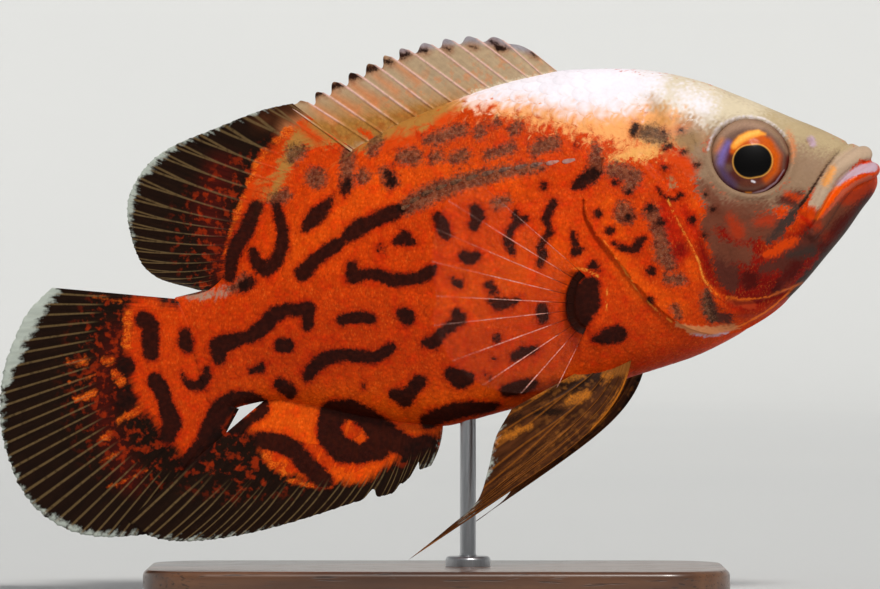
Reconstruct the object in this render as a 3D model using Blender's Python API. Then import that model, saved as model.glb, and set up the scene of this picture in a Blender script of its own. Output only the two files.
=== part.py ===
"""Life-size model of a young oscar fish, swimming nose-up, on a plain display stand.

Run it with blender --background --python part.py, or from Blender's text editor.

Lengths are millimetres, and MM turns them into metres as each mesh is made. The fish is drawn in its
own frame: s runs back from the snout, y to the fish's left and h up to the dorsal fin. An empty
carries that frame, pitched nose-up above the stand. The tail sways a little to the left.
"""

import math

import bmesh
import bpy
import numpy as np

MM = 0.001
GAP = 0.3

# Where the fish hangs over the stand
PITCH = math.radians(18)
SNOUT_X = 87.5
SNOUT_Z = 86.0

# Body lengths, measured back from the snout
BODY_LENGTH = 141.0
TOTAL_LENGTH = 184.0
STALK_START = 122.0
SWAY_START = 80.0
SWAY = 8.0

# Body section: share of the depth below the widest level, and the roundness of each half
WIDEST_LEVEL = 0.46
BACK_ROUNDNESS = 1.8
BELLY_ROUNDNESS = 2.15
BODY_RINGS = 44
BODY_SIDES = 32
THINNEST = 0.02

# Profiles of the body as (s, value), blunt at the snout because they run on the root of s
BACK_PROFILE = [
    (0, -1), (0.7, 3.4), (1.7, 4.7), (3.5, 6.2), (8.3, 10.7), (12.4, 14.1), (21.2, 21.6), (28, 27.0),
    (38.5, 32.8), (47.4, 35.8), (54.4, 37.6), (68.7, 38.8), (84.8, 38.0), (95, 36.3), (105.5, 33.6),
    (115, 29.8), (123, 25.2), (130, 20.2), (134.5, 17.8), (141, 18.2),
]
BELLY_PROFILE = [
    (0, -1), (0.4, -3.4), (1.4, -4.8), (4.9, -7.4), (9.7, -11), (14.4, -14), (22.3, -18.8),
    (29.5, -22.0), (36.7, -24.4), (48.5, -25.8), (66, -25.6), (84.8, -23.8), (96, -23.2),
    (104, -20.4), (112, -16.6), (122, -11), (131, -7), (136, -6.6), (141, -8),
]
HALF_WIDTH = [
    (0, 0), (0.7, 3.3), (1.7, 4.7), (3.5, 6.0), (8.3, 8.0), (12.4, 9.1), (21.2, 10.8), (28, 11.9),
    (38.5, 13.0), (54, 13.8), (68.7, 13.4), (84.8, 11.7), (105.5, 8.2), (123, 5.0), (134.5, 3.0),
    (141, 2.1),
]

# Head: outlines in side view as (s, h)
GILL_EDGE = [
    (53.0, 15.0), (56.6, 12.6), (58.3, 8.9), (57.6, 4.4), (55.7, -0.6), (53.3, -6.9), (50.6, -12.9),
    (47.2, -17.8), (43.2, -21.0), (38.1, -22.6),
]
CHEEK_EDGE = [
    (36.2, -19.6), (38.6, -15.5), (39.4, -10.2), (39.7, -2.7), (40.9, 5.1), (42.8, 11.2), (46.5, 15.0),
]
MOUTH_FRONT = 2.4
MOUTH_LINE = [(1.2, 1.4), (4.7, 0.5), (8.2, -1.3), (10.2, -3.0), (12.8, -5.1), (16.2, -7.8)]
JAW_BACK = [(21.0, -12.0), (23.5, -17.0), (24.0, -32.0)]
NAPE_TOP = (50.0, 50.0)
THROAT = (31.0, -34.0)
COVER_THICKNESS = 2.4
COVER_MIDLINE = 1.0

# How far the shoulder lies below the gill cover's edge, and where that step fades out
GILL_STEP = 0.5
GILL_STEP_END = 72.0
GILL_STEP_FADE = 14.0
GILL_STEP_TOP = 18.0
GILL_STEP_TOP_FADE = 5.0

# Past every side of the fish, for the cutters
BEYOND = 60.0

EYE_S = 23.5
EYE_H = 9.3
EYE_RADIUS = 7.9
EYE_DOME = 4.2
EYE_SUNK = 1.9
EYE_TURN_UP = math.radians(15)
EYE_TURN_FORWARD = math.radians(8)
EYE_RINGS = 7
EYE_SIDES = 18
ORBIT_RIM = 0.6
ORBIT_OFFSET = 0.2
ORBIT_STEPS = 22

UPPER_LIP = [(0.9, 2.9), (2.4, 3.1), (5.0, 2.5), (8.6, 0.9), (11.3, -1.6), (14.0, -4.3), (16.2, -6.4)]
LOWER_LIP = [(0.2, -0.6), (2.2, -1.0), (5.0, -1.4), (8.4, -3.2), (11.3, -5.6), (14.2, -8.0), (16.4, -9.4)]
UPPER_LIP_RADII = (1.6, 1.0)
LOWER_LIP_RADII = (1.5, 0.8)
LIP_SUNK = 0.35
LIP_FRONT = 0.35
LIP_STEPS = 11
NOSTRIL_S = 11.3
NOSTRIL_H = 8.6
NOSTRIL_RADIUS = 0.9
NOSTRIL_AXIS = (-0.3, 0.8, 0.5)

# Fins: thicknesses, how far a spine or a ray stands out on each face, and sideways bends at the tips
MEMBRANE = 0.5
FIN_ROOT = 2.4
FIN_END = 0.12
FIN_SINK = 1.6
SPINE_RIDGE = 0.35
RAY_RIDGE = 0.25
RAY_FOOT = 0.2
PAIRED_ROOT = 1.8
PAIRED_RIDGE = 0.2
LAPPET_DEPTH = 0.16
SOFT_LEAN = 1.6
ANAL_LEAN = 4.4
CAUDAL_CUP = 1.2
CAUDAL_INSET = 0.4

# Fins: the points of each outline as (s, h), from the front ray to the last
SPINE_BASE = [(54.3, 37.6), (61, 38.4), (72.9, 38.8), (84.7, 38.0), (95, 36.3), (104.6, 33.8)]
SPINE_TIP = [(57.7, 43.2), (63.2, 47.6), (76, 51.1), (85, 51.8), (96, 50.1), (110.8, 48.5)]
SPINES = 14
SOFT_BASE = [(105.1, 33.6), (113, 30.7), (121, 26.5), (127.5, 22.0), (133.5, 18.0)]
SOFT_TIP = [
    (111.3, 48.4), (121.9, 48.9), (130.9, 48.2), (138.2, 46.2), (143.3, 42.6), (145.4, 37.5),
    (145.9, 31.5), (145.4, 26.6), (142.2, 22.2), (137.6, 19.6),
]
SOFT_RAYS = 19
ANAL_BASE = [(98.4, -22.8), (104, -20.4), (112, -16.6), (121, -11.5), (130.6, -7.1)]
ANAL_TIP = [
    (103.2, -29.8), (106.5, -30.6), (114, -32.2), (122, -32.6), (136, -31.9), (147, -30.6),
    (155, -28.6), (161.0, -24.4), (158, -17.0),
]
ANAL_RAYS = 18
CAUDAL_TIP = [
    (164.0, 27.8), (170.0, 24.6), (175.0, 19.6), (180.0, 12.6), (183.0, 5.0), (183.4, -4.0),
    (181.0, -12.9), (176.4, -19.4), (170.5, -23.0), (163.0, -23.8),
]
CAUDAL_RAYS = 18
PELVIC_ROOT = [(57.4, 5.6), (63.8, 3.4)]
PELVIC_ROOT_LEVEL = 0.86
PELVIC_TIP = [(112.9, -45.8), (103.5, -42.2), (96.2, -38.9), (92.0, -33.4), (88.8, -28.1), (84.0, -23.6)]
FAR_PELVIC_TIP = [(102.6, -44.8), (95.0, -42.6), (89.5, -40.0), (86.0, -35.0), (83.0, -30.0), (79.5, -25.4)]
PELVIC_BOW = 5.0
PELVIC_BOW_FORWARD = 0.4
PELVIC_SPLAY = 8.0
PELVIC_RAYS = 6
PECTORAL_ROOT = [(63.4, -3.2), (63.8, -13.2)]
PECTORAL_TIP = [
    (79.7, 20.8), (87.4, 19.4), (94.2, 14.8), (97.6, 9.0), (97.4, 2.4), (94.0, -3.6), (89.6, -9.0),
    (84.0, -14.6), (77.6, -18.4),
]
PECTORAL_SUNK = 1.2
PECTORAL_STALK = 2.2
PECTORAL_STALK_SHARE = 0.07
PECTORAL_SPLAY = 7.0
PECTORAL_RAYS = 14

# Stand
BASE_LENGTH = 116.0
BASE_DEPTH = 62.0
BASE_HEIGHT = 6.0
BASE_CORNER = 14.0
BASE_BEVEL = 1.2
ROD_S = 93.0
ROD_RADIUS = 1.6
ROD_OVERLAP = 6.0
ROD_FOOT_RADIUS = 4.5
ROD_FOOT_HEIGHT = 2.0
ROD_FOOT_BEVEL = 0.8
SHARP = math.radians(40)

COLOURS = {
    "flesh": ((0.80, 0.16, 0.02, 1), 0.35, 0.0),
    "fin": ((0.10, 0.03, 0.015, 1), 0.40, 0.0),
    "clear_fin": ((0.85, 0.45, 0.30, 1), 0.30, 0.0),
    "eye": ((0.45, 0.16, 0.03, 1), 0.08, 0.0),
    "base": ((0.05, 0.05, 0.055, 1), 0.35, 0.0),
    "rod": ((0.55, 0.55, 0.56, 1), 0.30, 1.0),
}


def smooth(points):
    """A monotone cubic through (position, value) points, as a function of position."""
    at, value = np.array(points, float).T
    step = np.diff(at)
    slope = np.diff(value) / step
    tangent = np.concatenate([slope[:1], np.zeros(len(at) - 2), slope[-1:]])
    before = 2 * step[1:] + step[:-1]
    after = step[1:] + 2 * step[:-1]
    for i in np.flatnonzero(slope[:-1] * slope[1:] > 0):
        tangent[i + 1] = (before[i] + after[i]) / (before[i] / slope[i] + after[i] / slope[i + 1])

    def curve(where):
        where = np.clip(np.asarray(where, float), at[0], at[-1])
        i = np.clip(np.searchsorted(at, where, side="right") - 1, 0, len(at) - 2)
        t = (where - at[i]) / step[i]
        start = value[i] * (1 + 2 * t) + tangent[i] * step[i] * t
        end = value[i + 1] * (3 - 2 * t) - tangent[i + 1] * step[i] * (1 - t)
        return start * (1 - t) ** 2 + end * t**2

    return curve


def profile(points):
    """A profile along the body. It runs on the root of s, so that it is blunt at the snout."""
    curve = smooth([(math.sqrt(s), value) for s, value in points])
    return lambda s: curve(np.sqrt(np.maximum(s, 0)))


def outline(points):
    """A smooth curve in side view through (s, h) points, as a function of its share from 0 to 1."""
    corners = np.array(points, float)
    run = np.concatenate([[0], np.cumsum(np.linalg.norm(np.diff(corners, axis=0), axis=1))])
    run /= run[-1]
    along = smooth(list(zip(run, corners[:, 0])))
    up = smooth(list(zip(run, corners[:, 1])))
    return lambda t: np.stack([along(t), up(t)], axis=-1)


back = profile(BACK_PROFILE)
belly = profile(BELLY_PROFILE)
half_width = profile(HALF_WIDTH)


def sway(s):
    """How far the tail has swung to the fish's left at s."""
    share = np.maximum(np.asarray(s, float) - SWAY_START, 0) / (TOTAL_LENGTH - SWAY_START)
    return SWAY * share**2


def widest(s):
    """The height at which the body is widest."""
    return belly(s) + WIDEST_LEVEL * (back(s) - belly(s))


def flank(s, h):
    """Half the body's width at s and height h, from the section's formula."""
    middle = widest(s)
    upper = h > middle
    reach = np.where(upper, back(s) - middle, middle - belly(s))
    roundness = np.where(upper, BACK_ROUNDNESS, BELLY_ROUNDNESS)
    share = np.clip(np.abs(h - middle) / np.maximum(reach, 1e-6), 0, 1)
    return half_width(s) * (1 - share**roundness) ** (1 / roundness)


def triangles(first, second, third, fourth):
    """The two triangles of a face with these four corners."""
    return [(first, second, third), (first, third, fourth)]


def node(name, points, faces, finish, hung=True):
    """A mesh object from points in millimetres: (s, y, h) hung in the fish's frame, or plain (x, y, z)."""
    local = np.asarray(points, float) * MM * (-1 if hung else 1, 1, 1)
    mesh = bpy.data.meshes.new(name)
    mesh.from_pydata(local.tolist(), [], [tuple(int(i) for i in face) for face in faces])
    shape = bmesh.new()
    shape.from_mesh(mesh)
    bmesh.ops.recalc_face_normals(shape, faces=shape.faces)
    shape.to_mesh(mesh)
    shape.free()
    made = bpy.data.objects.new(name, mesh)
    bpy.context.collection.objects.link(made)
    if hung:
        made.parent = bpy.data.objects["fish"]
    dress(made, finish)
    return made


def dress(made, finish):
    """Gives an object the Principled material of a finish, and shades it smooth."""
    material = bpy.data.materials.get(finish) or bpy.data.materials.new(finish)
    material.use_nodes = True
    shader = material.node_tree.nodes["Principled BSDF"]
    colour, roughness, metallic = COLOURS[finish]
    shader.inputs["Base Color"].default_value = colour
    shader.inputs["Roughness"].default_value = roughness
    shader.inputs["Metallic"].default_value = metallic
    made.data.materials.clear()
    made.data.materials.append(material)
    made.data.shade_smooth()


def body_form(name, grow=0.0, step=None):
    """The whole body as a loft: rings on the root of s, closed by a point at the snout.

    grow moves the surface outwards, and step(s, h) draws it in.
    """
    s = np.linspace(0, math.sqrt(BODY_LENGTH), BODY_RINGS + 1)[1:, None] ** 2
    angle = np.linspace(0, 2 * math.pi, BODY_SIDES, endpoint=False)[None, :]
    upper = np.cos(angle) > 0
    power = 2 / np.where(upper, BACK_ROUNDNESS, BELLY_ROUNDNESS)
    reach = np.maximum(np.where(upper, back(s) - widest(s), widest(s) - belly(s)) + grow, THINNEST)
    h = widest(s) + np.sign(np.cos(angle)) * reach * np.abs(np.cos(angle)) ** power
    wide = np.maximum(half_width(s) + grow, THINNEST)
    y = -np.sign(np.sin(angle)) * wide * np.abs(np.sin(angle)) ** power
    if step is not None:
        y = y * (1 - step(s, h) / np.maximum(half_width(s), 1))
    s = s + np.where(s == BODY_LENGTH, grow, 0) + 0 * h
    points = np.stack([s, y + sway(s), h], axis=-1).reshape(-1, 3)
    snout = [(-max(grow, 0), 0, float(back(0)))]
    faces = [(0, 1 + (j + 1) % BODY_SIDES, 1 + j) for j in range(BODY_SIDES)]
    for i in range(BODY_RINGS - 1):
        for j in range(BODY_SIDES):
            here = 1 + i * BODY_SIDES
            after = (j + 1) % BODY_SIDES
            faces += triangles(here + j, here + after, here + BODY_SIDES + after, here + BODY_SIDES + j)
    faces.append(tuple(range(1 + (BODY_RINGS - 1) * BODY_SIDES, 1 + BODY_RINGS * BODY_SIDES)))
    return node(name, np.concatenate([snout, points]), faces, "flesh")


def prism(corners, near=-BEYOND, far=BEYOND):
    """A cutter: an outline in side view, carried straight across the fish from y near to y far."""
    count = len(corners)
    points = [(s, y, h) for y in (near, far) for s, h in corners]
    faces = [tuple(range(count)), tuple(range(2 * count - 1, count - 1, -1))]
    faces += [(i, (i + 1) % count, count + (i + 1) % count, count + i) for i in range(count)]
    return node("cutter", points, faces, "flesh")


def widened(corners, by):
    """An outline with each corner moved outwards by this much."""
    corners = np.array(corners, float)
    before = corners - np.roll(corners, 1, axis=0)
    after = np.roll(corners, -1, axis=0) - corners
    area = np.sum(corners[:, 0] * np.roll(corners[:, 1], -1) - corners[:, 1] * np.roll(corners[:, 0], -1))
    sides = [edge / np.linalg.norm(edge, axis=1, keepdims=True) for edge in (before, after)]
    normals = [np.stack([side[:, 1], -side[:, 0]], axis=1) * math.copysign(1, area) for side in sides]
    middle = normals[0] + normals[1]
    middle /= np.maximum(np.sum(middle * normals[0], axis=1, keepdims=True), 0.5)
    return corners + middle * by


def copy_of(made, name):
    """A separate copy of an object, with its own mesh."""
    twin = made.copy()
    twin.data = made.data.copy()
    twin.name = name
    bpy.context.collection.objects.link(twin)
    return twin


def carve(made, operation, *tools):
    """Applies a Boolean with each tool in turn, and removes the tools."""
    for tool in tools:
        change = made.modifiers.new(operation.lower(), "BOOLEAN")
        change.operation = operation
        change.object = tool
        bpy.context.view_layer.update()
        result = bpy.data.meshes.new_from_object(made.evaluated_get(bpy.context.evaluated_depsgraph_get()))
        made.modifiers.clear()
        made.data = result
        bpy.data.objects.remove(tool)
    keep_largest(made)


def keep_largest(made):
    """Keeps only the object's largest closed surface."""
    shape = bmesh.new()
    shape.from_mesh(made.data)
    reached = set()
    pieces = []
    for first in shape.faces:
        if first in reached:
            continue
        reached.add(first)
        piece = [first]
        for face in piece:
            beside = {other for edge in face.edges for other in edge.link_faces} - reached
            reached |= beside
            piece += sorted(beside, key=lambda other: other.index)
        pieces.append(piece)
    largest = set(max(pieces, key=lambda piece: sum(face.calc_area() for face in piece)))
    loose = [face for face in shape.faces if face not in largest]
    bmesh.ops.delete(shape, geom=loose, context="FACES")
    shape.to_mesh(made.data)
    shape.free()
    made.data.shade_smooth()


def eye_frame(side):
    """The eye's centre and its three axes; the last points out of the head."""
    centre = np.array([EYE_S, side * (float(flank(EYE_S, EYE_H)) - EYE_SUNK), EYE_H])
    out = np.array([
        -math.sin(EYE_TURN_FORWARD),
        side * math.cos(EYE_TURN_FORWARD) * math.cos(EYE_TURN_UP),
        math.sin(EYE_TURN_UP),
    ])
    out /= np.linalg.norm(out)
    across = np.cross(out, (0, 0, 1))
    across /= np.linalg.norm(across)
    return centre, across, np.cross(across, out), out


def eyeball(name, side, grow=0.0):
    """A flattened ball: round seen along the eye's axis, and domed out of the head."""
    centre, across, up, out = eye_frame(side)
    tilt = np.linspace(0, math.pi, EYE_RINGS + 2)[1:-1, None]
    turn = np.linspace(0, 2 * math.pi, EYE_SIDES, endpoint=False)[None, :]
    radius = (EYE_RADIUS + grow) * np.sin(tilt)
    height = (EYE_DOME + grow) * np.cos(tilt) + 0 * turn
    points = (
        centre
        + (radius * np.cos(turn))[..., None] * across
        + (radius * np.sin(turn))[..., None] * up
        + height[..., None] * out
    ).reshape(-1, 3)
    poles = [centre + out * (EYE_DOME + grow), centre - out * (EYE_DOME + grow)]
    faces = []
    last = 2 + (EYE_RINGS - 1) * EYE_SIDES
    for j in range(EYE_SIDES):
        after = (j + 1) % EYE_SIDES
        faces += [(0, 2 + j, 2 + after), (1, last + after, last + j)]
        for here in range(2, last, EYE_SIDES):
            below = here + EYE_SIDES
            faces += triangles(here + j, below + j, below + after, here + after)
    return node(name, np.concatenate([poles, points]), faces, "eye")


def tube(name, path, radii, sides=8, closed=False):
    """A tube of varying radius along a path of (s, y, h) points."""
    path = np.asarray(path, float)
    if closed:
        ahead = np.roll(path, -1, axis=0) - np.roll(path, 1, axis=0)
    else:
        ahead = np.gradient(path, axis=0)
    ahead /= np.linalg.norm(ahead, axis=1, keepdims=True)
    middle = path.mean(axis=0)
    outward = path - middle
    outward -= np.sum(outward * ahead, axis=1, keepdims=True) * ahead
    outward /= np.linalg.norm(outward, axis=1, keepdims=True)
    side = np.cross(ahead, outward)
    turn = np.linspace(0, 2 * math.pi, sides, endpoint=False)
    ring = np.cos(turn)[None, :, None] * outward[:, None] + np.sin(turn)[None, :, None] * side[:, None]
    points = (path[:, None] + ring * np.asarray(radii, float)[:, None, None]).reshape(-1, 3)
    count = len(path)
    faces = []
    for i in range(count if closed else count - 1):
        for j in range(sides):
            here, there = i * sides, ((i + 1) % count) * sides
            after = (j + 1) % sides
            faces += triangles(here + j, here + after, there + after, there + j)
    if not closed:
        faces += [tuple(range(sides)), tuple(range((count - 1) * sides, count * sides))]
    return node(name, points, faces, "flesh")


def orbit_rim(side):
    """The raised ring of skin round the eye."""
    centre, across, up, _ = eye_frame(side)
    turn = np.linspace(0, 2 * math.pi, ORBIT_STEPS, endpoint=False)[:, None]
    path = centre + (EYE_RADIUS + ORBIT_OFFSET) * (np.cos(turn) * across + np.sin(turn) * up)
    path[:, 1] = side * flank(path[:, 0], path[:, 2])
    return tube("rim", path, np.full(len(path), ORBIT_RIM), sides=5, closed=True)


def lip(name, line, radii):
    """A lip: a tube from one corner of the mouth round the snout to the other."""
    share = np.linspace(0, 1, LIP_STEPS)
    seen = outline(line)(share**1.5)
    round_front = np.sqrt(1 - (1 - np.minimum(share / LIP_FRONT, 1)) ** 2)
    radius = radii[0] + (radii[1] - radii[0]) * share**2
    wide = (flank(seen[:, 0], seen[:, 1]) - LIP_SUNK * radius) * round_front
    right = np.stack([seen[:, 0] + LIP_SUNK * radius * (1 - share), -wide, seen[:, 1]], axis=1)
    left = right[1:] * (1, -1, 1)
    path = np.concatenate([right[::-1], left])
    return tube(name, path, np.concatenate([radius[::-1], radius[1:]]), sides=7)


def nostril(side):
    """A nostril's low rim and the pit inside it, as a pair of pieces to add and to take away."""
    centre = np.array([NOSTRIL_S, side * float(flank(NOSTRIL_S, NOSTRIL_H)), NOSTRIL_H])
    out = np.array(NOSTRIL_AXIS) * (1, side, 1)
    out /= np.linalg.norm(out)
    rim_levels = np.array([-1.5, -0.5, 0.3, 0.5])[:, None] * NOSTRIL_RADIUS * out
    rim_radii = np.array([0.6, 1.0, 0.95, 0.6]) * NOSTRIL_RADIUS
    pit_levels = np.array([-0.6, 0.2, 1.6])[:, None] * NOSTRIL_RADIUS * out
    pit_radii = np.array([0.3, 0.42, 0.55]) * NOSTRIL_RADIUS
    return [turned("rim", centre + rim_levels, rim_radii), turned("pit", centre + pit_levels, pit_radii)]


def turned(name, path, radii, sides=10, finish="flesh", hung=True):
    """A round piece turned about a straight line of points, with a radius at each."""
    path = np.asarray(path, float)
    ahead = (path[-1] - path[0]) / np.linalg.norm(path[-1] - path[0])
    across = np.cross(ahead, (1, 0, 0))
    across /= np.linalg.norm(across)
    up = np.cross(across, ahead)
    turn = np.linspace(0, 2 * math.pi, sides, endpoint=False)[:, None]
    ring = np.cos(turn) * across + np.sin(turn) * up
    points = np.concatenate([centre + ring * radius for centre, radius in zip(path, radii)])
    faces = [tuple(range(sides)), tuple(range((len(path) - 1) * sides, len(path) * sides))]
    for i in range(len(path) - 1):
        for j in range(sides):
            here = i * sides
            after = (j + 1) % sides
            faces += triangles(here + j, here + after, here + sides + after, here + sides + j)
    return node(name, points, faces, finish, hung)


def build_flesh():
    """The head, jaw, gill covers, torso and tail stalk, parted from one body by thin cuts."""
    head_outline = [(-BEYOND, THROAT[1]), (-BEYOND, NAPE_TOP[1]), NAPE_TOP, *GILL_EDGE, THROAT]
    jaw_outline = [(-BEYOND, MOUTH_FRONT), *MOUTH_LINE, *JAW_BACK, (-BEYOND, JAW_BACK[-1][1])]
    cover_outline = GILL_EDGE + CHEEK_EDGE

    def step(s, h):
        along = np.clip((GILL_STEP_END - s) / GILL_STEP_FADE, 0, 1)
        return GILL_STEP * along * np.clip((GILL_STEP_TOP - h) / GILL_STEP_TOP_FADE, 0, 1)

    torso = body_form("torso", step=step)
    carve(torso, "DIFFERENCE", prism(widened(head_outline, GAP)), prism(behind(STALK_START)))
    stalk = body_form("tail_stalk")
    carve(stalk, "INTERSECT", prism(behind(STALK_START + GAP)))

    whole = body_form("whole_head")
    carve(whole, "INTERSECT", prism(head_outline))
    for side, name in ((-1, "gill_cover_right"), (1, "gill_cover_left")):
        cover = copy_of(whole, name)
        near, far = sorted((side * COVER_MIDLINE, side * BEYOND))
        carve(cover, "INTERSECT", prism(cover_outline, near, far))
        carve(cover, "DIFFERENCE", body_form("core", grow=-COVER_THICKNESS))
        pocket = prism(widened(cover_outline, GAP), near, far)
        carve(pocket, "DIFFERENCE", body_form("core", grow=-COVER_THICKNESS - GAP))
        carve(whole, "DIFFERENCE", pocket)
    carve(whole, "UNION", lip("upper", UPPER_LIP, UPPER_LIP_RADII), lip("lower", LOWER_LIP, LOWER_LIP_RADII))
    for side in (-1, 1):
        rim, pit = nostril(side)
        carve(whole, "UNION", orbit_rim(side), rim)
        carve(whole, "DIFFERENCE", pit, eyeball("socket", side, grow=GAP))
    jaw = copy_of(whole, "lower_jaw")
    carve(jaw, "INTERSECT", prism(jaw_outline))
    carve(whole, "DIFFERENCE", prism(widened(jaw_outline, GAP)))
    whole.name = "head"
    for side, name in ((-1, "eye_right"), (1, "eye_left")):
        eyeball(name, side)


def behind(start):
    """The outline of all that lies behind s start."""
    return [(start, BEYOND), (start, -BEYOND), (TOTAL_LENGTH, -BEYOND), (TOTAL_LENGTH, BEYOND)]


def ray_columns(rays):
    """Where a fin's columns stand, from 0 to 1, and how much each stands out: a crest between two feet."""
    pitch = 1 / (rays - 1)
    foot = RAY_FOOT * pitch
    at, crest = [], []
    for i in range(rays):
        for offset, height in ((-foot, 0), (0, 1), (foot, 0)):
            place = i * pitch + offset
            if 0 <= place <= 1 + 1e-9:
                at.append(place)
                crest.append(height)
    return np.array(at), np.array(crest, float)


def sheet(name, middle, half_thick, finish):
    """A closed fin from a grid of mid-surface points and half-thicknesses.

    It is thickened straight across the fish, and each grid square is split the same way on both
    faces, so that the faces can't cross.
    """
    columns, rows = middle.shape[:2]
    offset = half_thick[..., None] * np.array([0, 1, 0])
    near, far = middle + offset, middle - offset
    points = np.concatenate([near.reshape(-1, 3), far.reshape(-1, 3)])
    other = columns * rows
    faces = []
    for i in range(columns - 1):
        for j in range(rows - 1):
            a, b = i * rows + j, (i + 1) * rows + j
            faces += triangles(a, b, b + 1, a + 1)
            faces += [face[::-1] for face in triangles(a + other, b + other, b + 1 + other, a + 1 + other)]
    rim = [(i * rows, (i + 1) * rows) for i in range(columns - 1)]
    rim += [((columns - 1) * rows + j, (columns - 1) * rows + j + 1) for j in range(rows - 1)]
    rim += [((i + 1) * rows + rows - 1, i * rows + rows - 1) for i in range(columns - 1)]
    rim += [(j + 1, j) for j in range(rows - 1)]
    for first, second in rim:
        faces += triangles(second, first, first + other, second + other)
    return node(name, points, faces, finish)


def median_fin(name, base, tip, rays, rows, root, ridge, sink=0.0, reach=None, lean=None):
    """A fin in the fish's middle plane: rays from a base curve to a tip curve, raised on a membrane.

    root is each column's thickness at the base, sink how deep it starts below the base curve,
    reach(at) the share of each column's length, and lean(at, r) its sideways bend.
    """
    at, crest = ray_columns(rays)
    r = np.linspace(0, 1, rows + 1)[None, :]
    start, end = outline(base)(at)[:, None], outline(tip)(at)[:, None]
    direction = (end - start) / np.linalg.norm(end - start, axis=2, keepdims=True)
    start = start - direction * sink
    length = 1.0 if reach is None else reach(at)[:, None, None]
    seen = start + (end - start) * r[..., None] * length
    y = sway(seen[..., 0]) + (0 if lean is None else lean(at[:, None], r))
    middle = np.stack([seen[..., 0], y, seen[..., 1]], axis=-1)
    fade = (1 - r) ** 2
    half = MEMBRANE / 2 + (root[:, None] - MEMBRANE) / 2 * fade + ridge * crest[:, None] * (1 - r) ** 0.7
    return sheet(name, middle, half, "fin")


def tapered_root(rays, thickness, front=True, rear=True):
    """A root thickness for each column that runs out to the membrane's at the fin's free ends."""
    at = ray_columns(rays)[0]
    inward = np.minimum(at if front else 1, 1 - at if rear else 1)
    return MEMBRANE + (thickness - MEMBRANE) * np.sqrt(np.clip(inward / FIN_END, 0, 1))


def build_median_fins():
    """The dorsal fin's spiny and soft parts, the anal fin and the tail fin."""

    def lappets(at):
        place = at * (SPINES - 1)
        after_spine = place - np.floor(place + 1e-6)
        return 1.0 - LAPPET_DEPTH * np.where(after_spine < 1.5 * RAY_FOOT, 0, after_spine)

    at = ray_columns(CAUDAL_RAYS)[0]
    section = np.maximum(1 - np.abs(2 * at - 1) ** BELLY_ROUNDNESS, 0) ** 0.5
    caudal_root = np.maximum(2 * half_width(BODY_LENGTH) * section, MEMBRANE)
    stalk_end = BODY_LENGTH + GAP
    caudal_base = [
        (stalk_end, float(back(BODY_LENGTH)) - CAUDAL_INSET),
        (stalk_end, float(belly(BODY_LENGTH)) + CAUDAL_INSET),
    ]
    median_fin(
        "dorsal_fin_spines", SPINE_BASE, SPINE_TIP, SPINES, 4,
        tapered_root(SPINES, FIN_ROOT, rear=False), SPINE_RIDGE, FIN_SINK, reach=lappets,
    )
    median_fin(
        "dorsal_fin_rays", SOFT_BASE, SOFT_TIP, SOFT_RAYS, 5,
        tapered_root(SOFT_RAYS, FIN_ROOT, front=False), RAY_RIDGE, FIN_SINK,
        lean=lambda at, r: -SOFT_LEAN * r**2 * at,
    )
    median_fin(
        "anal_fin", ANAL_BASE, ANAL_TIP, ANAL_RAYS, 5,
        tapered_root(ANAL_RAYS, FIN_ROOT), RAY_RIDGE, FIN_SINK,
        lean=lambda at, r: -ANAL_LEAN * r**1.5 * at,
    )
    median_fin(
        "caudal_fin", caudal_base, CAUDAL_TIP, CAUDAL_RAYS, 5, caudal_root, RAY_RIDGE,
        lean=lambda at, r: CAUDAL_CUP * r * np.sin(math.pi * at),
    )
    for name in ("dorsal_fin_spines", "dorsal_fin_rays", "anal_fin"):
        carve(bpy.data.objects[name], "DIFFERENCE", body_form("grown", grow=GAP))


def pelvic_fin(name, side, tips):
    """A pelvic fin: bowed rays from a short root under the chest, the first drawn out to a filament."""
    at, crest = ray_columns(PELVIC_RAYS)
    r = np.linspace(0, 1, 9)[None, :]
    (front_s, front_y), (rear_s, rear_y) = PELVIC_ROOT
    root_s = front_s + (rear_s - front_s) * at
    root_y = front_y + (rear_y - front_y) * at
    root_h = widest(root_s) - (widest(root_s) - belly(root_s)) * PELVIC_ROOT_LEVEL
    tip = outline(tips)(at)
    bow = PELVIC_BOW * (1 - at) ** 1.2
    hump = 4 * r * (1 - r)
    s = root_s[:, None] + (tip[:, :1] - root_s[:, None]) * r - PELVIC_BOW_FORWARD * bow[:, None] * hump
    h = root_h[:, None] + (tip[:, 1:] - root_h[:, None]) * r - bow[:, None] * hump
    y = root_y[:, None] + PELVIC_SPLAY * r**0.7
    middle = np.stack([s, side * y, h], axis=-1)
    fleshy = (PAIRED_ROOT - MEMBRANE) / 2 * (1 - r) ** 3
    fin = sheet(name, middle, MEMBRANE / 2 + fleshy + PAIRED_RIDGE * crest[:, None] * (1 - r) ** 0.5, "fin")
    carve(fin, "DIFFERENCE", body_form("grown", grow=GAP))


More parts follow.
